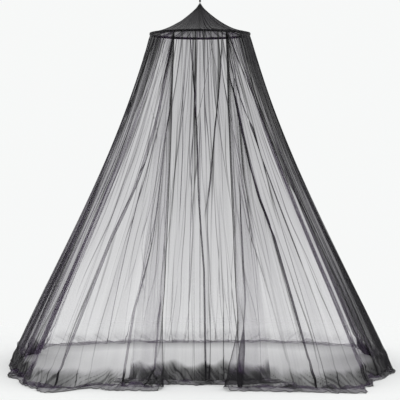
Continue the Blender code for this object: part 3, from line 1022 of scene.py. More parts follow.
@dataclass(frozen=True)
class Drapery:
    """The fine forms that a sheet of netting gets on top of its main folds.

    Args:
        surface: gives points for places across, rows and a share of the main folds.
        columns: the sheet's extent across, in folds.
        pleats: its narrow folds.
        seed: fixes the uneven waves.
        fullness: width of cloth at the hem as a share of the hem's own length.
        ripples: gathers per fold at the hoop.
        ripple_height: height of those gathers.
        wave_share: height of the soft waves as a share of their length.
        slump: height above the floor up to which the cloth sinks into folds, as a share.
        crumple: height of the rumpled cloth on the floor.
        spread: how far the hem's edge wanders.
        most_gather: greatest closeness of the gathers.
        slack_edges: how much looser the cloth hangs towards its two edges than in its middle.
        pool_layers: how many layers lie on each other on the floor.
        edge_bundle: layers that the free edge gathers, 0 where there is none.
        side_fullness: how much closer the cloth hangs at the sides of the net.
        tuck: how far the free edge's lower end lies towards the middle, in metres along X.
        drawn_in: how far the cloth on the floor is drawn in at the sides of the net.
        flat_hem: how much of the main folds the cloth loses on the floor.
        pushed_out: how far it is pushed out at the front.
        corner: how far it is pushed out between the front and the sides.
        corner_azimuth: direction of that corner in degrees from the front.
        corner_width: degrees over which the corner fades.
        fold_push: how far the folds just above the floor stand out.
        fold_lift: how far they lift the cloth, as a share of the height in which it sinks.
        ridges: ridges of the rumpled cloth between the floor line and the hem.
        uneven: how much the closeness varies along the cloth.
        crest: how much closer the cloth lies on the crests of the main folds.
        crease_layers: how many more layers the slanting creases near the floor have.
        most_bunch: most layers that pleats lay on the cloth where they cross.
    """

    surface: Callable[..., Array]
    columns: tuple[float, float]
    pleats: tuple[Pleat, ...]
    seed: int
    fullness: float = 1.15
    ripples: float = 7.0
    ripple_height: float = 0.0022
    wave_share: float = 0.075
    slump: float = 0.085
    crumple: float = 0.026
    spread: float = 0.016
    most_gather: float = 2.7
    slack_edges: float = 0.0
    pool_layers: float = 4.4
    edge_bundle: float = 0.0
    side_fullness: float = 0.0
    tuck: float = 0.0
    drawn_in: float = 0.0
    flat_hem: float = 0.0
    pushed_out: float = 0.0
    corner: float = 0.0
    corner_azimuth: float = 31.5
    corner_width: float = 8.0
    fold_push: float = 0.007
    fold_lift: float = 0.10
    ridges: float = 1.6
    uneven: float = 0.13
    crest: float = 0.16
    crease_layers: float = 1.3
    most_bunch: float = 9.0

    def spacing(self, q: Array, row: Array) -> Array:
        """Width of the net's surface without the folds' own depth.

        Args:
            q: places across, in folds.
            row: the rows.

        Returns:
            Metres per fold.
        """
        step = 0.02
        row = np.clip(row, 0.0, 1.0)
        beside = self.surface(q + step, row, 0.0) - self.surface(q - step, row, 0.0)
        return np.maximum(np.linalg.norm(beside, axis=-1) / (2 * step), 0.002)

    def build(self, count: int, rows: Array) -> tuple[Array, Array, Array]:
        """Work the cloth out.

        Args:
            count: columns of the grid.
            rows: the grid's rows.

        Returns:
            The points, their places on the cloth in metres, and the gathers.
        """
        q = self._places_across(count, rows)
        row = np.broadcast_to(rows[:, None], q.shape)
        spacing = self.spacing(q, row)
        hanging = np.clip(row, 0.0, 1.0)
        shift, lift, bunch = self._pleat_all(q, row, spacing)
        base = self.surface(q + shift, row, 1 - self.flat_hem * rise(row, 0.96, 0.3))
        normal = self._normals(self.surface(q, row, 0.35))
        waves = Waves(self.seed, 0.9, 5.0)
        gathers = Waves(self.seed + 1, self.ripples * 0.8, self.ripples * 1.25, 3)
        start = ease(hanging / 0.012)
        near_hoop = start * (0.25 + 0.75 * np.exp(-hanging / 0.10)) * (1 - ease(hanging / 0.6))
        lift = lift + gathers.at(q, 2.0 * hanging) * self.ripple_height * near_hoop
        calm = 1 - 0.75 * rise(row, 0.97, 0.05)
        soft = waves.at(q, 3.5 * hanging) * self.wave_share * spacing * 0.35
        lift = lift + soft * ease(hanging / 0.08) * calm
        points = base + normal * lift[..., None]
        if self.crumple:
            points = self._on_floor(points, q, row)
        return points, self._cloth_places(points, q), self._gathers(q, row, spacing, bunch)

    def _places_across(self, count: int, rows: Array) -> Array:
        """Spread the columns, closest together at the pleats.

        Args:
            count: how many there are.
            rows: the grid's rows.

        Returns:
            Their places in folds, for every row.
        """
        low, high = self.columns
        stops = np.linspace(low, high, 1600)
        placed = []
        for row in rows:
            close = np.ones_like(stops)
            for pleat in self.pleats:
                near = bell(stops - float(pleat.place(row)), 0.07)
                close += 3.0 * pleat.strength * near
            total = np.concatenate([[0.0], np.cumsum((close[1:] + close[:-1]) / 2)])
            placed.append(np.interp(np.linspace(0, total[-1], count), total, stops))
        return np.array(placed)

    def _pleat_all(self, q: Array, row: Array, spacing: Array) -> tuple[Array, Array, Array]:
        """Lay the pleats on the cloth.

        Args:
            q: places across, in folds.
            row: the rows.
            spacing: metres of surface per fold.

        Returns:
            Sideways shift in folds, lift in metres, and the layers that the pleats add.
        """
        shift = np.zeros_like(q)
        lift = np.zeros_like(q)
        bunch = np.zeros_like(q)
        down = np.clip(row, 0.0, 1.0)
        for pleat in self.pleats:
            open_out = mix(pleat.at_hoop, 1.0, down)
            width = np.minimum(pleat.width * open_out, spacing * pleat.room)
            s = (q - pleat.place(row)) * spacing / width
            strength = pleat.presence(row)
            near = np.exp(-(s**2))
            shift = shift - pleat.overlap * width / spacing * s * near * strength
            lift = lift + 1.1 * width * s * np.exp(-(s**2) / 1.6) * strength
            turned = bell(np.abs(s) - 0.52, 0.24)
            filled = turned + 0.4 * bell(s, 0.7)
            bunch = bunch + strength * pleat.layers * filled
        return shift, lift, np.minimum(bunch, self.most_bunch)

    @staticmethod
    def _normals(points: Array) -> Array:
        """Directions out of the cloth, upward where it lies on the floor.

        Args:
            points: the cloth's grid.

        Returns:
            Unit vectors.
        """
        across = np.gradient(points, axis=1)
        along = np.gradient(points, axis=0)
        normal = np.cross(along, across)
        away = points * (1.0, 1.0, 0.0)
        away[..., 2] = np.linalg.norm(away, axis=-1) / 2
        normal *= np.sign((normal * away).sum(axis=-1, keepdims=True))
        return normal / np.maximum(np.linalg.norm(normal, axis=-1, keepdims=True), 1e-9)

    def _on_floor(self, points: Array, q: Array, row: Array) -> Array:
        """Let the cloth sink into slanting folds above the floor and lie rumpled on it.

        Args:
            points: the cloth before that.
            q: places across, in folds.
            row: the rows.

        Returns:
            The points moved.
        """
        radius = np.maximum(np.linalg.norm(points[..., :2], axis=-1), 0.05)
        outward = points * (1.0, 1.0, 0.0) / radius[..., None]
        wander = Waves(self.seed + 2, 0.7, 6.0, 7)
        turns = Waves(self.seed + 3, 0.35, 1.6, 4)
        amount = np.clip(0.55 + 0.6 * Waves(self.seed + 6, 0.5, 2.6, 4).at(q), 0.0, 1.2)
        tall, out = self._sunk(q, row, turns, amount)
        heap = self._heaped(q, row, turns, amount)
        lying = np.clip(row - 1, 0.0, 1.0)
        edge = 0.3 * self.crumple * np.clip(wander.at(q * 1.4, 1.0), 0.0, 2.0) * ease(lying)
        reach = self._reach(q, row, outward, wander)
        moved = points + outward * (out + reach)[..., None] + up(tall + heap + edge)
        moved[..., 0] += self.tuck * rise(row, 0.82, 0.22) * (1 - ease(q / 1.4))
        moved[..., 2] = np.maximum(moved[..., 2], SIZES.pool_z - 0.0005)
        return moved

    def _sunk(self, q: Array, row: Array, turns: Waves, amount: Array) -> tuple[Array, Array]:
        """The slanting folds into which the cloth sinks just above the floor.

        Args:
            q: places across, in folds.
            row: the rows.
            turns: uneven waves that turn the folds.
            amount: how deep the folds are at each place.

        Returns:
            How far they lift the cloth, and how far they push it outward.
        """
        lying = np.clip(row - 1, 0.0, 1.0)
        sinking = np.clip((row - (1 - self.slump)) / self.slump, 0.0, 1.0)
        window = ease(sinking / 0.35) * (1 - rise(row, 1.0, 0.25)) * amount
        phase = math.tau * (1.8 * sinking + 0.9 * lying + 0.45 * q)
        phase = phase + 1.8 * turns.at(q, 1.5 * sinking)
        tall = self.fold_lift * self.slump * np.sin(phase) * window
        return tall, self.fold_push * (1 + np.cos(phase)) * window

    def _heaped(self, q: Array, row: Array, turns: Waves, amount: Array) -> Array:
        """The height of the rumpled cloth on the floor.

        Args:
            q: places across, in folds.
            row: the rows.
            turns: uneven waves that bend its ridges.
            amount: how high the ridges are at each place.

        Returns:
            The height in metres.
        """
        creases = Waves(self.seed + 7, 3.0, 11.0, 5)
        lying = np.clip(row - 1, 0.0, 1.0)
        swell = np.sin(math.pi * lying) ** 0.7
        bent = 3.0 * turns.at(q * 1.7, 2.0 * lying)
        ridge = 0.5 + 0.5 * np.sin(math.tau * self.ridges * lying + bent)
        heap = self.crumple * swell * (0.30 + 1.25 * ridge * amount)
        return heap + 0.12 * self.crumple * creases.at(q - 0.3 * lying, 3.0 * lying) * swell

    def _reach(self, q: Array, row: Array, outward: Array, wander: Waves) -> Array:
        """How far the lying cloth is moved outward.

        Args:
            q: places across, in folds.
            row: the rows.
            outward: the directions away from the middle of the net.
            wander: uneven waves along the hem.

        Returns:
            The distance in metres.
        """
        sideways = rise(np.abs(outward[..., 0]), 0.6, 0.25)
        reach = self.spread * wander.at(q) * rise(row, 0.93, 0.8) * (1 - 0.85 * sideways)
        reach = reach - self.drawn_in * sideways * rise(row, 0.97, 0.25)
        ahead = rise(-outward[..., 1], 0.72, 0.2)
        reach = reach + self.pushed_out * ahead * rise(row, 0.98, 0.5)
        azimuth = np.degrees(np.arctan2(np.abs(outward[..., 0]), -outward[..., 1]))
        corner = bell(azimuth - self.corner_azimuth, self.corner_width)
        corner = corner * (1 - 0.6 * bell(azimuth - SIZES.hinge_at_hem, 2.5))
        return reach + self.corner * corner * rise(row, 0.99, 0.5)

    def _gathers(self, q: Array, row: Array, spacing: Array, bunch: Array) -> Array:
        """How closely the cloth is gathered.

        Args:
            q: places across, in folds.
            row: the rows.
            spacing: metres of surface per fold.
            bunch: layers that the pleats add.

        Returns:
            1 for one flat layer, and more where more lie together.
        """
        hanging = np.clip(row, 0.0, 1.0)
        hem_spacing = self.spacing(q, np.ones_like(row))
        most = self.most_gather
        if self.edge_bundle:
            flap = 1 - ease((q - SIZES.flap_folds + 0.4) / 0.8)
            most = most * (1 + 2.5 * flap * np.exp(-hanging / 0.05))
        close = np.minimum(self.fullness * hem_spacing / spacing, most)
        waves = Waves(self.seed + 4, 0.6, 3.0, 5)
        close = close * (1 + self.uneven * waves.at(q, 2.0 * hanging))
        close = close * (1 + bunch) * (1 + self.crest * fold_height(q))
        if self.slack_edges:
            low, high = self.columns
            off_centre = np.abs(2 * (q - low) / (high - low) - 1)
            close = close * (1 - self.slack_edges * rise(off_centre, 0.50, 0.25))
        sideways = np.zeros_like(q)
        if self.side_fullness:
            place = self.surface(q, row, 0.0)
            sideways = np.abs(place[..., 0]) / np.linalg.norm(place[..., :2], axis=-1)
            front = mix(0.66, 0.72, ease(hanging / 0.35))
            more = 1 + 2.8 * np.exp(-hanging / 0.20) + 2.6 * rise(hanging, 0.5, 0.4)
            close = close * (1 + self.side_fullness * more * rise(sideways, front, 0.27))
        if self.edge_bundle:
            near = bell(q * spacing, 0.009 + 0.016 * np.exp(-hanging / 0.22))
            close = close + self.edge_bundle * near * (1 - 0.8 * rise(hanging, 0.1, 0.6))
        return np.clip(close * self._pooled(q, row, sideways), 0.4, 30.0)

    def _pooled(self, q: Array, row: Array, sideways: Array) -> Array:
        """How many times closer the cloth lies where it sinks and on the floor.

        Args:
            q: places across, in folds.
            row: the rows.
            sideways: 0 at the front and the back of the net, 1 at its sides.

        Returns:
            1 where it hangs freely.
        """
        lying = np.clip(row - 1, 0.0, 1.0)
        low = np.clip((row - 0.945) / 0.05, 0.0, 1.0)
        slide = q - 0.5 * low - 0.3 * lying
        start = 0.62 + 0.08 * Waves(self.seed + 9, 0.5, 2.0, 4).at(q)
        sunk = ease((row - 1 + start * self.slump) / (0.36 * self.slump))
        uneven = Waves(self.seed + 10, 0.8, 2.4, 4).at(slide, 2.5 * lying)
        broad = 1 + low * (0.22 + 0.38 * ease(lying / 0.3)) * uneven
        slanting = Waves(self.seed + 8, 1.5, 4.5, 4).at(slide)
        folded = bell(slanting, 0.14) * sunk * min(self.crumple / 0.02, 1.0)
        layers = self.pool_layers * mix(2.3, 0.8, rise(row, 0.985, 0.06))
        layers = layers * (1 - 0.45 * rise(sideways, 0.72, 0.26))
        return mix(1.0, layers, sunk) * (1 + self.crease_layers * folded) * broad

    def _cloth_places(self, points: Array, q: Array) -> Array:
        """Lay the cloth out flat.

        Args:
            points: the cloth's grid.
            q: places across, in folds.

        Returns:
            Metres across, at the hem's scale, and down the drop.
        """
        low, high = self.columns
        stops = np.linspace(low, high, 400)
        width = self.spacing(stops, np.ones_like(stops)) * (high - low) / (len(stops) - 1)
        across = np.interp(q, stops, np.cumsum(width) + 3.1 * low)
        step = np.linalg.norm(np.diff(points, axis=0), axis=-1).mean(axis=1)
        return joined(across, np.concatenate([[0.0], np.cumsum(step)])[:, None])


def scattered(
    seed: int, low: float, high: float, per_fold: float, width: float, strength: float
) -> tuple[Pleat, ...]:
    """Uneven small pleats over a stretch of cloth.

    Args:
        seed: fixes the choice.
        low: start of the stretch, in folds.
        high: end of the stretch, in folds.
        per_fold: how many there are in one fold.
        width: their greatest width in metres.
        strength: their greatest strength.

    Returns:
        The pleats.
    """
    rng = np.random.default_rng(seed)
    made = []
    for i in range(int((high - low) * per_fold)):
        top = low + (i + rng.uniform(0.1, 0.9)) / per_fold
        start = 0.0 if rng.random() < 0.6 else rng.uniform(0.1, 0.55)
        end = 2.0 if rng.random() < 0.55 else rng.uniform(start + 0.3, 1.1)
        bottom = float(np.clip(top + rng.normal(0.0, 0.55), low, high))
        middle = float(np.clip((top + bottom) / 2 + rng.normal(0.0, 0.15), low, high))
        made.append(
            Pleat(
                ((start, top), ((start + end) / 2, middle), (end, bottom)),
                width * rng.uniform(0.4, 1.0),
                strength * rng.uniform(0.3, 1.0),
                rng.uniform(1.8, 3.0),
            )
        )
    return tuple(made)


# The long folds in front, and what differs between the two curtains, which hang unevenly

MAIN_PLEATS: dict[Side, tuple[Pleat, ...]] = {
    Side.LEFT: (
        Pleat(
            ((0, 0.25), (0.22, 0.30), (0.31, 0.68), (0.6, 0.75), (0.8, 1.15), (2, 1.2)), 0.017
        ),
        Pleat(
            ((0, 2.0), (0.31, 2.05), (0.45, 2.19), (0.6, 2.42), (0.95, 2.57), (2, 2.6)), 0.019
        ),
        Pleat(((0, 3.9), (0.14, 3.2), (0.28, 2.91), (0.5, 2.75)), 0.010, 0.8),
        Pleat(((0.20, 2.9), (0.29, 1.9), (0.36, 1.6)), 0.006, 0.7),
        Pleat(((0.36, 0.10), (0.73, 0.16), (0.9, 0.12)), 0.007, 0.8),
        Pleat(((0, 5.3), (0.18, 5.7), (0.29, 6.1), (0.55, 5.85), (1, 6.1), (2, 6.2)), 0.016),
        Pleat(((0.74, 0.12), (0.95, 0.25), (1.0, 0.5), (2.0, 0.9)), 0.020, 0.8),
    ),
    Side.RIGHT: (
        Pleat(
            ((0, 0.3), (0.14, 0.8), (0.2, 1.49), (0.4, 1.6), (0.6, 1.92), (2, 1.92)),
            0.019,
            overlap=2.2,
            layers=6,
            room=0.42,
            at_hoop=1.0,
        ),
        Pleat(((0, 0.4), (0.22, 0.16), (0.5, 0.12), (0.67, 0.08)), 0.008, 0.8),
        Pleat(((0.39, 0.70), (0.55, 0.45), (0.69, 0.35), (0.9, 0.30), (2, 0.6)), 0.012, 0.9),
        Pleat(((0.05, 1.3), (0.16, 2.0), (0.3, 2.36), (0.5, 2.42), (0.75, 2.5)), 0.011, 0.9),
        Pleat(((0.45, 0.65), (0.57, 0.81), (0.66, 1.08), (0.8, 1.3)), 0.008, 0.8),
        Pleat(((0, 4.7), (0.17, 4.2), (0.41, 4.2), (0.55, 4.4), (1.2, 4.4)), 0.015),
        Pleat(((0.74, 0.12), (1.0, 0.35), (2.0, 0.7)), 0.020, 0.8),
    ),
}
INNER_PLEATS = (
    Pleat(
        ((0, 1.86), (0.14, 2.14), (0.3, 2.34), (0.5, 2.45), (0.7, 2.66), (2, 2.8)),
        0.014,
        layers=4,
    ),
    Pleat(
        ((0, 3.93), (0.14, 3.66), (0.29, 3.28), (0.45, 2.97), (0.56, 2.70)),
        0.014,
        overlap=2.4,
        layers=6,
        room=0.3,
        at_hoop=0.8,
    ),
    Pleat(((0, 3.4), (0.11, 2.95), (0.25, 2.43), (0.32, 2.2)), 0.007, 0.8),
    Pleat(((0.1, 1.5), (0.35, 1.64), (0.6, 1.6)), 0.009, 0.8),
    Pleat(((0, 3.0), (0.12, 3.5), (0.16, 3.6)), 0.006, 0.7),
    Pleat(((0.74, 3.40), (0.95, 3.30), (2.0, 3.2)), 0.010, 0.8),
)
CURTAINS: dict[Side, dict[str, float]] = {
    Side.LEFT: {
        "pool_layers": 2.7,
        "side_fullness": 1.0,
        "most_gather": 1.9,
        "fullness": 1.15,
        "tuck": 0.02,
    },
    Side.RIGHT: {
        "pool_layers": 2.3,
        "side_fullness": 1.3,
        "most_gather": 3.1,
        "fullness": 1.6,
        "tuck": -0.10,
    },
}


# Sub-assemblies


class Bench:
    """Edit-mode modelling on one object at a time."""

    @staticmethod
    def deselect() -> None:
        """Deselect every object."""
        for item in bpy.context.view_layer.objects:
            item.select_set(False)

    @staticmethod
    def take(name: str) -> bpy.types.Object:
        """Name the primitive that was just added, and make its place part of its mesh.

        Args:
            name: the piece's name.

        Returns:
            The piece.
        """
        piece = bpy.context.object
        piece.name = name
        piece.data.name = name
        bpy.ops.object.transform_apply(location=True, rotation=True, scale=True)
        return piece

    @staticmethod
    def select(piece: bpy.types.Object, test: Callable[[Any], bool], kind: str = "FACE") -> None:
        """In edit mode, select only the faces, edges or corners that pass a test.

        Args:
            piece: the object in edit mode.
            test: is given each face, edge or vertex.
            kind: FACE, EDGE or VERT.
        """
        bpy.ops.mesh.select_mode(type=kind)
        bpy.ops.mesh.select_all(action="DESELECT")
        shape = bmesh.from_edit_mesh(piece.data)
        parts = {"FACE": shape.faces, "EDGE": shape.edges, "VERT": shape.verts}[kind]
        for part in parts:
            part.select = test(part)
        shape.select_flush_mode()
        bmesh.update_edit_mesh(piece.data)

    @staticmethod
    def extrude(y: float, z: float) -> None:
        """Extrude what is selected by a step along Y and Z."""
        bpy.ops.mesh.extrude_region_move(TRANSFORM_OT_translate={"value": (0, y, z)})

    @staticmethod
    def close(piece: bpy.types.Object, angle: float = 35.0) -> None:
        """Merge corners, turn faces outward, leave edit mode and smooth by angle.

        Args:
            piece: the object in edit mode.
            angle: degrees between faces past which an edge stays sharp.
        """
        bpy.ops.mesh.select_all(action="SELECT")
        bpy.ops.mesh.remove_doubles(threshold=0.00002)
        bpy.ops.mesh.normals_make_consistent(inside=False)
        bpy.ops.object.mode_set(mode="OBJECT")
        bpy.ops.object.shade_smooth_by_angle(angle=math.radians(angle))
        piece.select_set(False)

    @staticmethod
    def add_modifier(piece: bpy.types.Object, kind: str, **settings: Any) -> None:
        """Add a modifier with its settings and apply it.

        Args:
            piece: the object.
            kind: the modifier's type.
            settings: its settings by name.
        """
        bpy.context.view_layer.objects.active = piece
        modifier = piece.modifiers.new(kind.lower(), kind)
        for key, value in settings.items():
            setattr(modifier, key, value)
        bpy.ops.object.modifier_apply(modifier=modifier.name)


@dataclass
class CeilingFitting:
    """The pad, the domed plate and the cup hook."""

    palette: Palette
    body: str = "ceiling_mount"
    plate_top: float = -0.0013
    plate_radius: float = 0.022
    plate_rim: float = 0.002
    plate_dome: float = 0.006
    plate_bevel: float = 0.0004
    boss_radius: float = 0.0042
    boss_edge: float = 0.0006
    bore_radius: float = 0.0026
    bore_depth: float = 0.0042
    wire: float = 0.004
    bend: float = 0.009
    shank: float = 0.004
    neck: float = 0.010
    lip: float = 0.0033
    tip_step: float = 0.00035

    def build(self) -> list[bpy.types.Object]:
        """Model the plate and the hook. The pad keeps its solid.

        Returns:
            The new pieces.
        """
        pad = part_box("adhesive_pad")
        log.info("adhesive_pad keeps its solid, %.1f mm thick", 1000 * (pad[1].z - pad[0].z))
        return [self._plate(), self._hook()]

    @property
    def plate_bottom(self) -> float:
        """Height of the plate's lowest face."""
        return self.plate_top - self.plate_rim - self.plate_dome

    def _plate(self) -> bpy.types.Object:
        """A disc whose lower face is inset and drawn down into a dome with a socket.

        Returns:
            The plate.
        """
        Bench.deselect()
        bpy.ops.mesh.primitive_cylinder_add(
            vertices=72,
            radius=self.plate_radius,
            depth=self.plate_rim,
            location=(0, 0, self.plate_top - self.plate_rim / 2),
        )
        plate = Bench.take("plate_cover")
        bpy.ops.object.mode_set(mode="EDIT")
        Bench.select(plate, lambda face: face.normal.z < -0.9)
        radius = self.plate_radius
        drop = 0.0
        steps = 7
        for i in range(1, steps + 1):
            turn = math.pi / 2 * i / (steps + 1)
            next_radius = max(self.plate_radius * math.cos(turn), self.boss_radius)
            next_drop = self.plate_dome * math.sin(turn)
            bpy.ops.mesh.inset(thickness=radius - next_radius, depth=0.0)
            bpy.ops.transform.translate(value=(0, 0, drop - next_drop))
            radius, drop = next_radius, next_drop
        bpy.ops.mesh.inset(thickness=self.boss_edge, depth=0.0)
        bpy.ops.transform.translate(value=(0, 0, drop - self.plate_dome))
        bpy.ops.mesh.inset(thickness=radius - self.boss_edge - self.bore_radius, depth=0.0)
        Bench.extrude(0, self.bore_depth)
        rim = self.plate_radius * 0.999
        Bench.select(
            plate,
            lambda edge: all(corner.co.to_2d().length > rim for corner in edge.verts)
            and abs(edge.verts[0].co.z - edge.verts[1].co.z) < 1e-6,
            "EDGE",
        )
        bpy.ops.mesh.bevel(offset=self.plate_bevel, segments=3, affect="EDGES")
        Bench.close(plate)
        plate.data.materials.append(self.palette.plate)
        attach(plate, self.body)
        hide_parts("ceiling_plate")
        return plate

    def _hook(self) -> bpy.types.Object:
        """A wire section pushed down the shank, bent twice to the side and round the cup.

        Returns:
            The hook.
        """
        Bench.deselect()
        top = self.plate_bottom + self.bore_depth
        radius = self.wire / 2
        bpy.ops.mesh.primitive_circle_add(
            vertices=24, radius=radius, fill_type="NOTHING", location=(0, 0, top)
        )
        hook = Bench.take("cup_hook")
        bpy.ops.object.mode_set(mode="EDIT")
        bpy.ops.mesh.select_all(action="SELECT")
        Bench.extrude(0, -self.bore_depth - self.shank)
        turn = 2 * math.atan2(self.bend, self.neck)
        bow = self.neck / 2 / math.sin(turn)
        shank_end = self.plate_bottom - self.shank
        across = (1.0, 0.0, 0.0)
        centre_z = shank_end - self.neck
        for steps, angle, y, z in (
            (10, -turn, bow, shank_end),
            (10, turn, self.bend - bow, centre_z),
            (28, math.pi, 0, centre_z),
        ):
            bpy.ops.mesh.spin(steps=steps, angle=angle, center=(0, y, z), axis=across)
        Bench.extrude(-self.lip / 3, self.lip)
        for step in (0.35, 0.55, 0.8):
            Bench.extrude(-0.00012, self.tip_step)
            scale = math.sqrt(1 - step**2)
            bpy.ops.transform.resize(value=(scale, scale, 1.0))
        bpy.ops.mesh.edge_face_add()
        Bench.select(hook, lambda edge: edge.is_boundary, "EDGE")
        bpy.ops.mesh.edge_face_add()
        Bench.close(hook, 50.0)
        hook.data.materials.append(self.palette.hook)
        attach(hook, self.body)
        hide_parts("ceiling_hook")
        return hook


@dataclass
class HangingCord:
    """The braided loop over the hook, the barrel knot and the eye that carries the ring."""

    palette: Palette
    diameter: float = 0.004
    hook_seat: float = -0.0323
    drop: float = 0.0985
    loop_radius: float = 0.0046
    knot_radius: float = 0.00675
    knot_height: float = 0.0118
    wraps: int = 3
    tucked: float = 0.0015
    eye_drop: float = 0.019
    eye_radius: float = 0.00385
    strands: int = 8
    strand_lay: float = 0.012
    strand_step: float = 0.0007

    @property
    def knot_top(self) -> float:
        """Height of the knot's upper end."""
        return self.hook_seat - self.drop

    def build(self) -> list[bpy.types.Object]:
        """Model the cord.

        Returns:
            The loop, the knot's wraps and the eye.
        """
        knot = self._knot()
        eye = self._eye()
        return [self._loop(), knot, eye]

    def _braided(self, name: str, line: Array) -> bpy.types.Object:
        """A round cord whose surface rises over each strand of its braid.

        Args:
            name: the piece's name.
            line: its middle line.

        Returns:
            The piece.
        """
        length = run(line)
        count = max(int(length[-1] / self.strand_step), 24)
        even = np.linspace(0, length[-1], count)
        smooth = np.stack([np.interp(even, length, line[:, i]) for i in range(3)], axis=1)
        sides = 20
        turn = np.linspace(0, math.tau, sides, endpoint=False)
        lay = even[:, None] * math.tau / self.strand_lay
        waves = np.sin(self.strands / 2 * turn[None] + lay)
        waves = waves * np.sin(self.strands / 2 * turn[None] - lay)
        radius = self.diameter / 2 * (0.97 + 0.06 * waves)
        return TubeMesh.make(name, smooth, radius, sides, self.palette.cord)

    def _loop(self) -> bpy.types.Object:
        """The two taut runs and the bend over the hook.


        Returns:
            The loop.
        """
        foot = self.knot_top - self.tucked
        share = np.linspace(0, 1, 20)
        half = mix(self.diameter / 2 + 0.0003, self.loop_radius, ease(share))
        height = mix(foot, self.hook_seat, share)
        turn = np.linspace(0, math.pi, 20)[1:-1]
        over = joined(np.cos(turn), 0.0, np.sin(turn)) * self.loop_radius
        right = joined(half, 0.0, height)
        left = (right * (-1, 1, 1))[::-1]
        line = np.concatenate([right, over + (0, 0, self.hook_seat), left])
        piece = self._braided("cord_loop_braid", line)
        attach(piece, "cord_loop")
        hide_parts("hanging_cord")
        return piece

    def _knot(self) -> bpy.types.Object:
        """Level wraps that step down at the back, their ends tucked in.

        Returns:
            The knot.
        """
        radius = self.knot_radius - self.diameter / 2
        turns = np.linspace(0, self.wraps, 180)
        whole = np.floor(turns)
        level = np.minimum(whole + ease((turns - whole - 0.8) / 0.2), self.wraps - 1)
        pitch = (self.knot_height - self.diameter) / (self.wraps - 1)
        height = self.knot_top - self.diameter / 2 - level * pitch
        angle = math.tau * (turns - 0.9) + math.pi / 2
        share = turns / self.wraps
        tuck = mix(0.35, 1.0, ease(share / 0.06)) * mix(0.35, 1.0, ease((1 - share) / 0.06))
        line = joined(radius * tuck * np.cos(angle), radius * tuck * np.sin(angle), height)
        piece = self._braided("barrel_knot", line)
        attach(piece, "knot")
        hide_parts("cord_knot")
        return piece

    def _eye(self) -> bpy.types.Object:
        """The short loop under the knot.

        Returns:
            The eye.
        """
        top = self.knot_top - self.knot_height + 0.002
        axle = self.knot_top - self.eye_drop
        turn = np.linspace(0, -math.pi, 24)
        bow = joined(0.0, np.cos(turn), np.sin(turn)) * self.eye_radius
        ends = np.array([[0, self.eye_radius, top], [0, -self.eye_radius, top]])
        line = np.concatenate([ends[:1], bow + (0, 0, axle), ends[1:]])
        piece = self._braided("cord_eye_braid", line)
        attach(piece, "knot")
        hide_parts("cord_eye")
        return piece


@dataclass
class Apex:
    """The coated ring and the bound collar that gathers the top of the roof."""

    palette: Palette
    ring_z: float = -0.1553
    ring_radius: float = 0.0055
    ring_wire: float = 0.0025
    weld_half: float = 0.0007
    weld_bead: float = 0.00015
    flutes: int = 26
    spread: float = 0.0085
    binding: float = 0.0006
    tape_width: float = 0.034

    def build(self) -> list[bpy.types.Object]:
        """Model the ring and the collar.

        Returns:
            The new pieces.
        """
        return [self._ring(), self._collar()]

    def _ring(self) -> bpy.types.Object:
        """A wire ring with the small bead of its weld.

        Returns:
            The ring.
        """
        Bench.deselect()
        bpy.ops.mesh.primitive_torus_add(
            major_radius=self.ring_radius,
            minor_radius=self.ring_wire / 2,
            major_segments=60,
            minor_segments=18,
            location=(0, 0, self.ring_z),
            rotation=(math.pi / 2, 0, 0),
        )
        ring = Bench.take("wire_ring")
        bpy.ops.object.mode_set(mode="EDIT")
        low = self.ring_z - self.ring_radius * 0.8
        Bench.select(
            ring,
            lambda face: face.calc_center_median().z < low
            and abs(face.calc_center_median().x) < self.weld_half,
        )
        bpy.ops.transform.shrink_fatten(value=self.weld_bead)
        Bench.close(ring, 60.0)
        ring.data.materials.append(self.palette.ring)
        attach(ring, "canopy")
        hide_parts("apex_ring")
        return ring

    def _collar(self) -> bpy.types.Object:
        """Fluted tape from the neck under the ring out to the roof, with two bound turns.

        Returns:
            The collar.
        """
        s = SIZES
        share = np.linspace(0, 1, 46)[:, None]
        turn = np.linspace(0, math.tau, 209)[None]
        radius = mix(s.collar_neck, s.collar_rim + self.spread, share**1.2)
        flute = np.cos(self.flutes * turn + 0.6 * np.sin(3 * turn)) * share**0.7
        radius = radius * (1 - 0.035 * (1 - flute))
        for middle in (0.14, 0.24):
            radius = radius + self.binding * bell(share - middle, 0.035)
        radius = radius * mix(0.72, 1.0, ease(share / 0.05))
        points = circle(turn, radius, mix(s.collar_top, s.collar_bottom - 0.004, share))
        cloth = joined(turn * s.collar_rim, share * self.tape_width)
        piece = SheetMesh.make("collar_binding", points, cloth, self.palette.tape)
        Bench.deselect()
        bpy.context.view_layer.objects.active = piece
        piece.select_set(True)
        bpy.ops.object.mode_set(mode="EDIT")
        bpy.ops.mesh.select_all(action="SELECT")
        bpy.ops.mesh.remove_doubles(threshold=0.00002)
        rim = s.collar_top - 0.0001
        Bench.select(piece, lambda edge: edge.is_boundary and edge.verts[0].co.z > rim, "EDGE")
        Bench.extrude(0, -0.0006)
        bpy.ops.transform.resize(value=(0.3, 0.3, 1.0))
        bpy.ops.mesh.edge_face_add()
        bpy.ops.object.mode_set(mode="OBJECT")
        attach(piece, "canopy")
        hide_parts("apex_collar")
        return piece


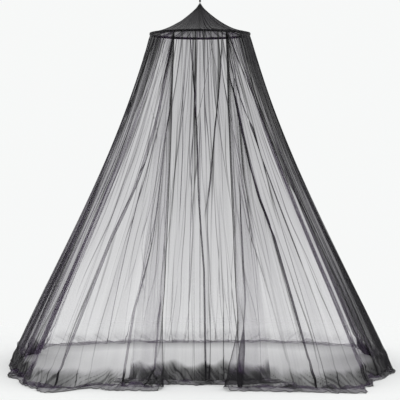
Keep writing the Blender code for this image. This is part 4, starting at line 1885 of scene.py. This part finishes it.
@dataclass
class Roof:
    """The gathered roof, its two seams, and the hoop in its casing."""

    palette: Palette
    sag: float = 1.8
    gathers: int = 18
    gather_depth: float = 0.004
    lap: float = 0.007
    seam_width: float = 0.009
    seam_thickness: float = 0.0007
    tape_width: float = 0.034
    stitches: int = 160
    pucker: float = 0.00022
    rise: float = 0.1693
    fullness: float = 1.2
    gore_share: float = 0.62
    columns: int = 900
    pleats: int = 54

    def _surface(self, q: Array, row: Array, folds: float = 1.0) -> Array:
        """Points on the roof.

        Args:
            q: tens of degrees round it.
            row: 0 at the collar, 1 at the hoop, 2 at the lap.
            folds: how much of the gathers' depth to keep.

        Returns:
            The points as one array.
        """
        s = SIZES
        azimuth = 10.0 * q
        top_radius = s.collar_rim + 0.0035
        edge = s.hoop_radius + s.casing_outer + 0.0015
        brow = s.hoop_z + s.casing_outer + 0.0015
        share = np.clip(row, 0.0, 1.0)
        fade = np.sin(math.pi * share) ** 0.8
        gather = np.sin(np.radians(azimuth * self.gathers)) * fade * folds
        height = mix(brow, s.collar_bottom - 0.0002, (1 - share) ** self.sag)
        height = height + self.gather_depth * gather * share
        lap = np.clip(row - 1, 0.0, 1.0)
        height = np.where(row > 1, mix(brow, s.hoop_z - self.lap, lap), height)
        edge_round = 0.0012 * np.sin(math.pi / 2 * lap)
        return around(azimuth, mix(top_radius, edge, share) + edge_round, height)

    def build(self) -> list[bpy.types.Object]:
        """Model the roof, its casing and its two seams.

        Returns:
            The new pieces.
        """
        casing = self._casing()
        seams = [
            self._seam("front_roof_tape", 0.0, "front_roof_seam"),
            self._seam("back_roof_tape", 18.0, "back_roof_seam"),
        ]
        return [self._cover(), casing, *seams]

    def _cover(self) -> bpy.types.Object:
        """The roof's netting in one sheet.


        Returns:
            The roof's cloth.
        """
        rng = np.random.default_rng(5)
        pleats = []
        for i in range(self.pleats):
            top = (i + rng.uniform(0.15, 0.85)) * 36 / self.pleats
            start = 0.0 if rng.random() < 0.75 else rng.uniform(0.2, 0.5)
            pleats.append(
                Pleat(
                    ((start, top), (1.0, top + rng.normal(0, 0.18))),
                    0.008 * rng.uniform(0.4, 1.0),
                    rng.uniform(0.3, 1.0),
                )
            )
        drapery = Drapery(
            self._surface,
            (0.0, 36.0),
            tuple(pleats),
            seed=21,
            fullness=1.25,
            ripples=5.0,
            ripple_height=0.0010,
            wave_share=0.03,
            crumple=0.0,
            pool_layers=1.0,
            most_gather=22.0,
        )
        rows = np.concatenate([np.linspace(0, 1, 70) ** 1.25, [1.33, 1.66, 2.0]])
        points, cloth, gather = drapery.build(self.columns, rows)
        points[:, -1] = points[:, 0]
        piece = SheetMesh.make("roof_netting", points, cloth, self.palette.roof_netting, gather)
        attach(piece, "canopy")
        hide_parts("left_roof", "right_roof")
        slant = math.hypot(SIZES.hoop_radius, self.rise)
        width = self.fullness * math.tau * SIZES.hoop_radius
        self.gore_share * width * slant
        return piece

    def _seam(self, name: str, place: float, node: str) -> bpy.types.Object:
        """A narrow tape down the roof.

        Args:
            name: the tape's name.
            place: tens of degrees round the roof.
            node: the solid that it stands for.

        Returns:
            The tape.
        """
        rows = np.linspace(0.06, 1.0, 60)[:, None]
        across = np.linspace(-1, 1, 7)[None]
        points = self._surface(np.full_like(across, place), rows, 0.0)
        side = around(10 * place + 90.0, self.seam_width / 2)
        wobble = 0.0004 * np.sin(rows * 90.0) * across
        points = points + side * across[..., None] + up(0.0030 + wobble - 0.0006 * across**2)
        cloth = joined(across * self.seam_width / 2, rows * 0.36)
        piece = SheetMesh.make(name, points, cloth, self.palette.tape)
        Bench.add_modifier(piece, "SOLIDIFY", thickness=self.seam_thickness, offset=-1.0)
        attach(piece, "canopy")
        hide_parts(node)
        return piece

    def _casing(self) -> bpy.types.Object:
        """The folded tape over the hoop, puckered by its stitching.

        Returns:
            The tape.
        """
        s = SIZES
        turn = np.linspace(0, math.tau, 721)[None]
        arch = np.concatenate([[0.0], np.linspace(0, 1, 13), [1.0]])[:, None]
        across = -np.cos(math.pi * arch)
        high = s.casing_outer * np.sin(math.pi * arch)
        high[[0, -1]] = s.casing_lip - s.hoop_z
        pucker = self.pucker * np.sin(self.stitches * turn + 2.0 * np.sin(7 * turn))
        radius = s.hoop_radius + across * (s.casing_outer - 0.0002 + pucker)
        points = circle(turn, radius, s.hoop_z + high)
        down = np.linspace(0, self.tape_width, len(arch))[:, None]
        cloth = joined(turn * s.hoop_radius, down)
        piece = SheetMesh.make("hoop_tape", points, cloth, self.palette.tape)
        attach(piece, "canopy")
        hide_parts("hoop_casing")
        return piece


@dataclass
class Netting:
    """The two halves of the outer netting, the inner panel, and their hems, edges and seams."""

    palette: Palette
    side_columns: int = 640
    back_columns: int = 380
    inner_columns: int = 420
    gore_share: float = 0.76
    blend_reach: float = 0.022
    hem_radius: float = 0.0016
    hem_step: float = 0.004
    hanging_rows: int = 88
    sinking_rows: int = 34
    lying_rows: int = 24
    sinking_from: float = 0.90

    def rows(self) -> Array:
        """Rows of the grid, closest together in the gathers and near the floor.

        Returns:
            The rows, from -1 in the heading to 2 at the hem.
        """
        hanging = np.linspace(0, 1, self.hanging_rows) ** 1.15 * self.sinking_from
        sinking = np.linspace(self.sinking_from, 1, self.sinking_rows + 1)[1:]
        lying = np.linspace(1, 2, self.lying_rows + 1)[1:]
        return np.concatenate([[-1.0, -0.5, -0.1], hanging, sinking, lying])

    def build(self) -> list[bpy.types.Object]:
        """Model all the netting.

        Returns:
            The new pieces.
        """
        made = []
        for side in Side:
            made += self._half(side)
        made += self._inner()
        return made

    @staticmethod
    def _pleats(side: Side) -> tuple[Pleat, ...]:
        """The long folds of one side, and the small ones between them.

        Args:
            side: which half.

        Returns:
            The pleats of its curtain.
        """
        between = scattered(40 + side.value, 0.3, 8.7, 1.7, 0.009, 0.8)
        if side is Side.RIGHT:
            between += scattered(57, 0.5, 5.5, 1.2, 0.010, 0.9)
        return MAIN_PLEATS[side] + between

    def _half(self, side: Side) -> list[bpy.types.Object]:
        """One side's netting from its free edge to the middle of the back.

        Args:
            side: which half.

        Returns:
            The two cloths and the trim along them.
        """
        s = SIZES
        surface = OuterNetting(side).points
        word = side.word
        rows = self.rows()
        front = Drapery(
            surface,
            (0.0, float(s.seam)),
            self._pleats(side),
            seed=60 + side.value,
            edge_bundle=16.0,
            drawn_in=0.012,
            flat_hem=0.85,
            pushed_out=0.05,
            corner=0.085,
            **CURTAINS[side],
        )
        back = Drapery(
            surface,
            (float(s.seam), float(s.last)),
            scattered(45 + side.value, s.seam + 0.3, s.last - 0.2, 2.0, 0.012, 0.9),
            seed=60 + side.value,
            side_fullness=1.0,
            pool_layers=0.9,
            crumple=0.012,
            drawn_in=0.030,
        )
        points, cloth, gather = front.build(self.side_columns, rows)
        curtain = SheetMesh.make(f"{word}_drape", points, cloth, self.palette.netting, gather)
        behind, cloth, gather = back.build(self.back_columns, rows)
        behind[:, 0] = points[:, -1]
        panel = SheetMesh.make(f"{word}_back_drape", behind, cloth, self.palette.netting, gather)
        start, end = self._across_hinge(side)
        hem = self._rolled(f"{word}_drape_hem", points[-1])
        back_hem = self._rolled(f"{word}_back_drape_hem", behind[-1])
        below_lip = rows >= 0.004
        edge = self._rolled(f"{word}_free_edge", points[below_lip & (rows <= 1.6), 0])
        seam_rows = below_lip & (rows <= 0.98)
        seam = self._rolled(f"{word}_side_seam", points[seam_rows, -1])
        for cloth_piece in (curtain, hem):
            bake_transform(cloth_piece)
        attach(edge, f"{word}_flap")
        for fixed in (panel, back_hem, seam):
            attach(fixed, "canopy")
        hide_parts(f"{word}_flap", f"{word}_curtain")
        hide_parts(f"{word}_back_panel")
        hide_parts(f"{word}_flap_hem", f"{word}_curtain_hem")
        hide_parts(f"{word}_back_hem")
        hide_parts(f"{word}_flap_edge")
        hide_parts(f"{word}_seam")
        back_trim = [back_hem]
        if side is Side.RIGHT:
            middle = self._rolled("middle_back_seam", behind[seam_rows, -1])
            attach(middle, "canopy")
            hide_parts("back_seam")
            back_trim.append(middle)
        return [curtain, panel, hem, edge, seam, *back_trim]

    def _inner(self) -> list[bpy.types.Object]:
        """The inner panel behind the entrance, and its hem.

        Returns:
            The panel and its hem.
        """
        inner = InnerNetting()
        drapery = Drapery(
            inner.points,
            (0.0, float(inner.panel_folds)),
            INNER_PLEATS + scattered(71, 0.2, 4.8, 1.2, 0.008, 0.7),
            seed=80,
            crumple=0.016,
            ripples=9.0,
            fullness=1.7,
            pushed_out=0.085,
            most_gather=4.0,
            slack_edges=0.4,
        )
        points, cloth, gather = drapery.build(self.inner_columns, self.rows())
        piece = SheetMesh.make("inner_drape", points, cloth, self.palette.netting, gather)
        hem = self._rolled("inner_drape_hem", points[-1])
        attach(piece, "canopy")
        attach(hem, "canopy")
        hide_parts("front_panel")
        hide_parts("front_panel_hem")
        return [piece, hem]

    def _rolled(self, name: str, line: Array) -> bpy.types.Object:
        """A rolled hem along one line of the cloth.

        Args:
            name: the piece's name.
            line: points along the cloth.

        Returns:
            The hem.
        """
        line = np.array(line)
        kept = [0]
        for i in range(1, len(line)):
            if np.linalg.norm(line[i] - line[kept[-1]]) > self.hem_step:
                kept.append(i)
        line = line[kept]
        smooth = line.copy()
        smooth[1:-1] = (line[:-2] + 2 * line[1:-1] + line[2:]) / 4
        lowest = SIZES.floor + self.hem_radius + 0.0002
        smooth[:, 2] = np.maximum(smooth[:, 2], lowest)
        return TubeMesh.make(name, smooth, self.hem_radius, 8, self.palette.tape)

    def _across_hinge(self, side: Side) -> tuple[Array, Array]:
        """Two places on either side of the flap's fold line, square to it.

        Args:
            side: which flap.

        Returns:
            The place on the curtain's side and the one on the flap's.
        """
        s = SIZES
        reach, pool = hem_reach(np.array([side.value * s.hinge_at_hem]))
        top = around(side.value * s.hinge_at_hoop, s.outer_heading, s.casing_lip)
        low = around(side.value * s.hinge_at_hem, float(reach[0] - pool[0]), s.pool_z)
        axis = (low - top) / np.linalg.norm(low - top)
        to_front = around(side.value * 20.0, 1.0) - around(side.value * 34.0, 1.0)
        to_front = to_front - axis * to_front.dot(axis)
        to_front /= np.linalg.norm(to_front)
        return top - to_front * self.blend_reach, top + to_front * self.blend_reach


@dataclass
class CarriedOver:
    """The solids that stay as they are and only get their finish."""

    palette: Palette

    def build(self, nodes: dict[str, bpy.types.Object]) -> None:
        """Assign the finishes.

        Args:
            nodes: the frame's nodes by name.
        """
        finishes = {
            "adhesive_pad": self.palette.foam,
            "hoop_rod_left": self.palette.rod,
            "hoop_rod_right": self.palette.rod,
            "hoop_ferrule_front": self.palette.ferrule,
            "hoop_ferrule_back": self.palette.ferrule,
        }
        for name, material in finishes.items():
            node = nodes[name]
            node.data.materials.clear()
            node.data.materials.append(material)
            log.info("%s keeps its solid", name)


@dataclass
class Studio:
    """The plain pale floor and backdrop, the soft light and the photograph's camera."""

    distance: float = 10.8
    eye_height: float = -1.286
    lens: float = 148.05
    shift: float = -0.06
    floor_z: float = -2.5146
    floor_radius: float = 9.0
    white: Colour = (0.93, 0.94, 0.935)
    glow: float = 0.20
    shade: Colour = (0.05, 0.05, 0.052)
    shade_reach: float = 0.38
    shade_share: float = 0.55
    fade_from: float = 2.0
    fade_over: float = 1.6
    sky_light: float = 0.55

    def build(self) -> None:
        """Make the floor, the world, the lamps and the camera."""
        self._floor()
        self._world()
        self._lamp("key", (math.radians(-22), 0, 0), 1.2, 34)
        self._lamp("fill", (math.radians(55), 0, math.radians(40)), 0.5, 60)
        self._camera()
        scene = bpy.context.scene
        scene.view_settings.view_transform = "Standard"
        scene.cycles.transparent_max_bounces = 48

    def _floor(self) -> None:
        """A wide disc that keeps the net's shadow and fades into the backdrop."""
        Bench.deselect()
        bpy.ops.mesh.primitive_circle_add(
            vertices=96, radius=self.floor_radius, fill_type="NGON", location=(0, 0, self.floor_z)
        )
        floor = Bench.take("floor")
        graph = Graph("floor_paper")
        tree = graph.tree
        output = tree.nodes["Material Output"]
        seen = graph.add("ShaderNodeLightPath", {}, {}, "Is Camera Ray")
        mirrored = graph.add("ShaderNodeLightPath", {}, {}, "Is Glossy Ray")
        through = graph.add("ShaderNodeLightPath", {}, {}, "Is Transmission Ray")
        glow = graph.add("ShaderNodeEmission", {}, {"Color": self.white})
        graph.finish(Base_Color=self.white, Roughness=0.9)
        shown = (seen + mirrored + through).clamped() * self.glow
        lit = Wire(graph, graph.surface.outputs[0])
        paper = graph.add("ShaderNodeMixShader", {}, {0: shown, 1: lit, 2: glow})
        inputs = {"Distance": self.shade_reach}
        open_sky = graph.add("ShaderNodeAmbientOcclusion", {"samples": 6}, inputs, "AO")
        shade = graph.add("ShaderNodeBsdfDiffuse", {}, {"Color": self.shade})
        hidden = ((1 - open_sky) * self.shade_share).clamped()
        paper = graph.add("ShaderNodeMixShader", {}, {0: hidden, 1: paper, 2: shade})
        place = graph.object_place((1.0, 1.0, 0.0))
        far = graph.add("ShaderNodeVectorMath", {"operation": "LENGTH"}, {0: place}, "Value")
        fade = ((far - self.fade_from) / self.fade_over).clamped()
        clear = graph.add("ShaderNodeBsdfTransparent", {}, {})
        whole = graph.add("ShaderNodeMixShader", {}, {0: fade, 1: paper, 2: clear})
        tree.links.new(whole.socket, output.inputs["Surface"])
        floor.data.materials.append(graph.material)

    def _world(self) -> None:
        """A pale backdrop for the camera, and soft light for everything else."""
        world = bpy.data.worlds.new("studio")
        bpy.context.scene.world = world
        world.use_nodes = True
        tree = world.node_tree
        soft = tree.nodes["Background"]
        soft.inputs["Color"].default_value = (1.0, 1.0, 1.0, 1.0)
        soft.inputs["Strength"].default_value = self.sky_light
        plain = tree.nodes.new("ShaderNodeBackground")
        plain.inputs["Color"].default_value = (*self.white, 1.0)
        plain.inputs["Strength"].default_value = 1.0
        path = tree.nodes.new("ShaderNodeLightPath")
        choice = tree.nodes.new("ShaderNodeMixShader")
        shown = path.outputs["Is Camera Ray"]
        for ray in ("Is Glossy Ray", "Is Transmission Ray"):
            either = tree.nodes.new("ShaderNodeMath")
            either.operation = "MAXIMUM"
            tree.links.new(shown, either.inputs[0])
            tree.links.new(path.outputs[ray], either.inputs[1])
            shown = either.outputs[0]
        tree.links.new(shown, choice.inputs[0])
        tree.links.new(soft.outputs[0], choice.inputs[1])
        tree.links.new(plain.outputs[0], choice.inputs[2])
        tree.links.new(choice.outputs[0], tree.nodes["World Output"].inputs["Surface"])

    @staticmethod
    def _lamp(name: str, turn: tuple[float, float, float], power: float, angle: float) -> None:
        """Add a soft distant lamp.

        Args:
            name: the lamp's name.
            turn: its rotation in radians.
            power: its strength.
            angle: how wide it looks from here, in degrees.
        """
        light = bpy.data.lights.new(name, "SUN")
        light.energy = power
        light.angle = math.radians(angle)
        in_scene(name, light).rotation_euler = turn

    def _camera(self) -> None:
        """The level camera of the photograph."""
        data = bpy.data.cameras.new("camera")
        data.lens = self.lens
        data.shift_y = self.shift
        camera = in_scene("camera", data)
        camera.location = (0.0, -self.distance, self.eye_height)
        camera.rotation_euler = (math.pi / 2, 0.0, 0.0)
        bpy.context.scene.camera = camera


def plain(box: tuple[Vector, Vector]) -> list[list[float]]:
    """A box as lists of numbers."""
    return [[round(float(x), 5) for x in corner] for corner in box]


def main() -> None:
    """Build the studio and every piece."""
    logging.basicConfig(level=logging.INFO, format="%(name)s: %(message)s")
    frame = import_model()
    Studio().build()
    palette = Palette()
    CarriedOver(palette).build(frame["nodes"])
    for part in (
        CeilingFitting(palette),
        HangingCord(palette),
        Apex(palette),
        Roof(palette),
        Netting(palette),
    ):
        for piece in part.build():
            log.info("%s: %d faces", piece.name, len(piece.data.polygons))


if __name__ == "__main__":
    main()
